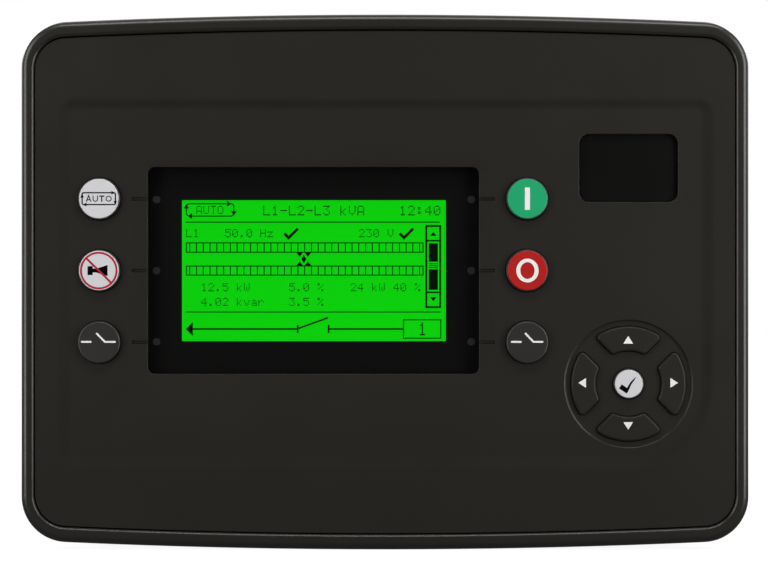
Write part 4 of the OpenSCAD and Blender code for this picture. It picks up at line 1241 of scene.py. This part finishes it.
class DressSolids(bpy.types.Operator):
    """Finishes and broken edges of the solids that stay as they are"""

    bl_idname = "controller.solids"
    bl_label = "Case, connectors and boards"

    # Edge break of each solid that can be seen from outside
    edges = {"rear_case": 0.5 * MM, "gasket": 0.2 * MM, "serial_socket": 0.15 * MM,
             "ethernet_socket": 0.25 * MM, "usb_socket": 0.25 * MM, "serial_posts": 0.15 * MM,
             "terminal_screws": 0.15 * MM, "case_screws": 0.2 * MM}
    plug_edge = 0.3 * MM
    header_edge = 0.2 * MM

    def execute(self, context):
        slots = {row["node"]: row["material_slot"] for row in frame["record"]["subparts"]}
        edges = dict(self.edges)
        for block in BLOCKS:
            edges[f"{block}_plug"] = self.plug_edge
            edges[f"{block}_header"] = self.header_edge
        for node, solid in frame["nodes"].items():
            solid.data.materials.clear()
            solid.data.materials.append(FINISHES[slots[node]])
            if node in edges:
                self.break_edges(solid, edges[node])
        return {"FINISHED"}

    def break_edges(self, solid, width):
        """Joins the solid's faces, then rounds its sharp edges."""
        weld = solid.modifiers.new("Weld", "WELD")
        weld.merge_threshold = 0.002 * MM
        merge = solid.modifiers.new("Flat faces", "DECIMATE")
        merge.decimate_type = "DISSOLVE"
        merge.angle_limit = math.radians(1.0)
        edge = solid.modifiers.new("Broken edges", "BEVEL")
        edge.width = width
        edge.segments = 2
        edge.limit_method = "ANGLE"
        edge.angle_limit = math.radians(40.0)
        edge.harden_normals = False
        even = solid.modifiers.new("Even normals", "WEIGHTED_NORMAL")
        even.keep_sharp = True


class BuildStage(bpy.types.Operator):
    """Pale floor, soft lights and the camera"""

    bl_idname = "controller.stage"
    bl_label = "Stage"

    # Share of the floor's own white that the eye sees, and that glossy faces mirror
    floor_glow = 0.88
    floor_mirror = 0.12
    # The camera stands one pixel of the photograph off the middle
    camera_off = 0.337 * MM
    camera_distance = 621.1 * MM

    def execute(self, context):
        self.floor()
        self.sky()
        self.lamps()
        self.camera()
        context.scene.view_settings.view_transform = "Standard"
        return {"FINISHED"}

    def floor(self):
        """A broad pale floor under the bezel: white to the eye, yet it takes the shadow near the object."""
        z = CAD_BOX[0][2]
        mesh = bpy.data.meshes.new("floor")
        half, front, back = 2.5, -0.1, 2.5
        mesh.from_pydata([(x, y, z) for x, y in bar(-half, half, front, back)], [], [(0, 1, 2, 3)])
        mat, tree, place = material("floor_paper")
        grain = noise(tree, place, size=2 * MM, detail=2.0)
        tone = blend(tree, grain, linear("#F4F4F4"), linear("#FAFAFA"))
        path, seen = self.sight(tree)
        paper = blend(tree, seen, linear("#3C3C3C"), tone)
        matt = add(tree, "ShaderNodeBsdfDiffuse", None, {"Color": paper})
        away = add(tree, "ShaderNodeVectorMath", {"operation": "LENGTH"}, {0: place}).outputs["Value"]
        white = ramp(tree, away, 0.15, 0.6, 1.06, 1.2, "SMOOTHSTEP")
        glow = add(tree, "ShaderNodeEmission", None, {"Color": linear("#FFFFFF"), "Strength": white})
        direct = maths(tree, "MULTIPLY", seen, self.floor_glow)
        mirrored = maths(tree, "MULTIPLY", path["Is Glossy Ray"], self.floor_mirror)
        share = maths(tree, "MAXIMUM", direct, mirrored)
        surface(tree, add(tree, "ShaderNodeMixShader", None,
                          {0: share, 1: matt.outputs[0], 2: glow.outputs[0]}))
        mesh.materials.append(mat)
        floor = bpy.data.objects.new("floor", mesh)
        bpy.context.scene.collection.objects.link(floor)

    def sight(self, tree):
        """What kind of ray arrives, and 1 for what the eye sees, directly or through the pane."""
        path = add(tree, "ShaderNodeLightPath").outputs
        return path, maths(tree, "MAXIMUM", path["Is Camera Ray"], path["Is Transmission Ray"])

    def sky(self):
        """A white surround that lights dimly from in front, but for a weak glow from the camera's side."""
        world = bpy.data.worlds.new("studio")
        bpy.context.scene.world = world
        world.use_nodes = True
        tree = world.node_tree
        tree.nodes.clear()
        place = add(tree, "ShaderNodeTexCoord").outputs["Generated"]
        depth = add(tree, "ShaderNodeSeparateXYZ", None, {"Vector": place}).outputs["Y"]
        dim = ramp(tree, depth, -0.8, 0.4, 0.02, 0.35, "SMOOTHSTEP")
        fill = ramp(tree, depth, -0.9, -0.99, 0.0, 0.11, "SMOOTHSTEP")
        around = add(tree, "ShaderNodeBackground", None,
                     {"Color": linear("#FFFFFF"), "Strength": maths(tree, "ADD", dim, fill)})
        white = add(tree, "ShaderNodeBackground", None, {"Color": linear("#FFFFFF"), "Strength": 1.0})
        path, seen = self.sight(tree)
        behind = ramp(tree, depth, 0.0, 0.4, 0.0, path["Is Glossy Ray"], "SMOOTHSTEP")
        shader = add(tree, "ShaderNodeMixShader", None,
                     {0: maths(tree, "MAXIMUM", seen, behind), 1: around.outputs[0], 2: white.outputs[0]})
        add(tree, "ShaderNodeOutputWorld", None, {"Surface": shader.outputs[0]})

    def lamps(self):
        """Tall soft boxes at both sides, the right one stronger, one above, and two behind for the case."""
        for name, place, width, height, power in (
                ("left_box", (-0.68, -0.46, 0.08), 0.38, 0.84, 4.1),
                ("right_box", (0.68, -0.46, 0.08), 0.38, 0.84, 5.4),
                ("top_box", (0.05, -0.4, 0.8), 0.9, 0.15, 4.0),
                ("back_left_box", (-0.55, 0.6, 0.5), 0.5, 0.5, 4.6),
                ("back_right_box", (0.55, 0.6, 0.5), 0.5, 0.5, 4.6)):
            light = bpy.data.lights.new(name, "AREA")
            light.shape = "RECTANGLE"
            light.size, light.size_y = width, height
            light.energy = power
            lamp = bpy.data.objects.new(name, light)
            lamp.location = place
            lamp.rotation_euler = Vector(place).to_track_quat("Z", "Y").to_euler()
            bpy.context.scene.collection.objects.link(lamp)

    def camera(self):
        """Straight in front, at the photograph's distance."""
        lens = bpy.data.cameras.new("camera")
        lens.lens = 85.0
        lens.sensor_width = 36.0
        lens.sensor_fit = "HORIZONTAL"
        lens.clip_start = 0.01
        camera = bpy.data.objects.new("camera", lens)
        camera.location = (-self.camera_off, -self.camera_distance, -self.camera_off)
        camera.rotation_euler = (math.radians(90), 0, 0)
        bpy.context.scene.collection.objects.link(camera)
        bpy.context.scene.camera = camera


OPERATORS = (DressSolids, BuildBezel, BuildFascia, BuildBadge, BuildRoundKeys, BuildArrowKeys, BuildKeymat,
             BuildLegends, BuildDisplay, BuildStage)


class ControllerPanel(bpy.types.Panel):
    """Lists the controller's pieces, sizes and colours"""

    bl_idname = "VIEW3D_PT_controller"
    bl_label = "Genset controller"
    bl_space_type = "VIEW_3D"
    bl_region_type = "UI"
    bl_category = "Controller"

    def draw(self, context):
        for operator in OPERATORS:
            self.layout.operator(operator.bl_idname)
        for group in (context.scene.controller_sizes, context.scene.controller_colours):
            column = self.layout.column(align=True)
            for key in group.__annotations__:
                column.prop(group, key)


CLASSES = (ControllerSizes, ControllerColours) + OPERATORS + (ControllerPanel,)


def register():
    for cls in CLASSES:
        bpy.utils.register_class(cls)
    bpy.types.Scene.controller_sizes = bpy.props.PointerProperty(type=ControllerSizes)
    bpy.types.Scene.controller_colours = bpy.props.PointerProperty(type=ControllerColours)


def unregister():
    del bpy.types.Scene.controller_colours
    del bpy.types.Scene.controller_sizes
    for cls in reversed(CLASSES):
        bpy.utils.unregister_class(cls)


def main():
    register()
    FINISHES.update(make_finishes())
    bpy.ops.controller.solids()
    bpy.ops.controller.bezel()
    bpy.ops.controller.fascia()
    bpy.ops.controller.badge()
    bpy.ops.controller.round_keys()
    bpy.ops.controller.arrow_keys()
    bpy.ops.controller.keymat()
    bpy.ops.controller.legends()
    bpy.ops.controller.display()
    bpy.ops.controller.stage()


if __name__ == "__main__":
    main()
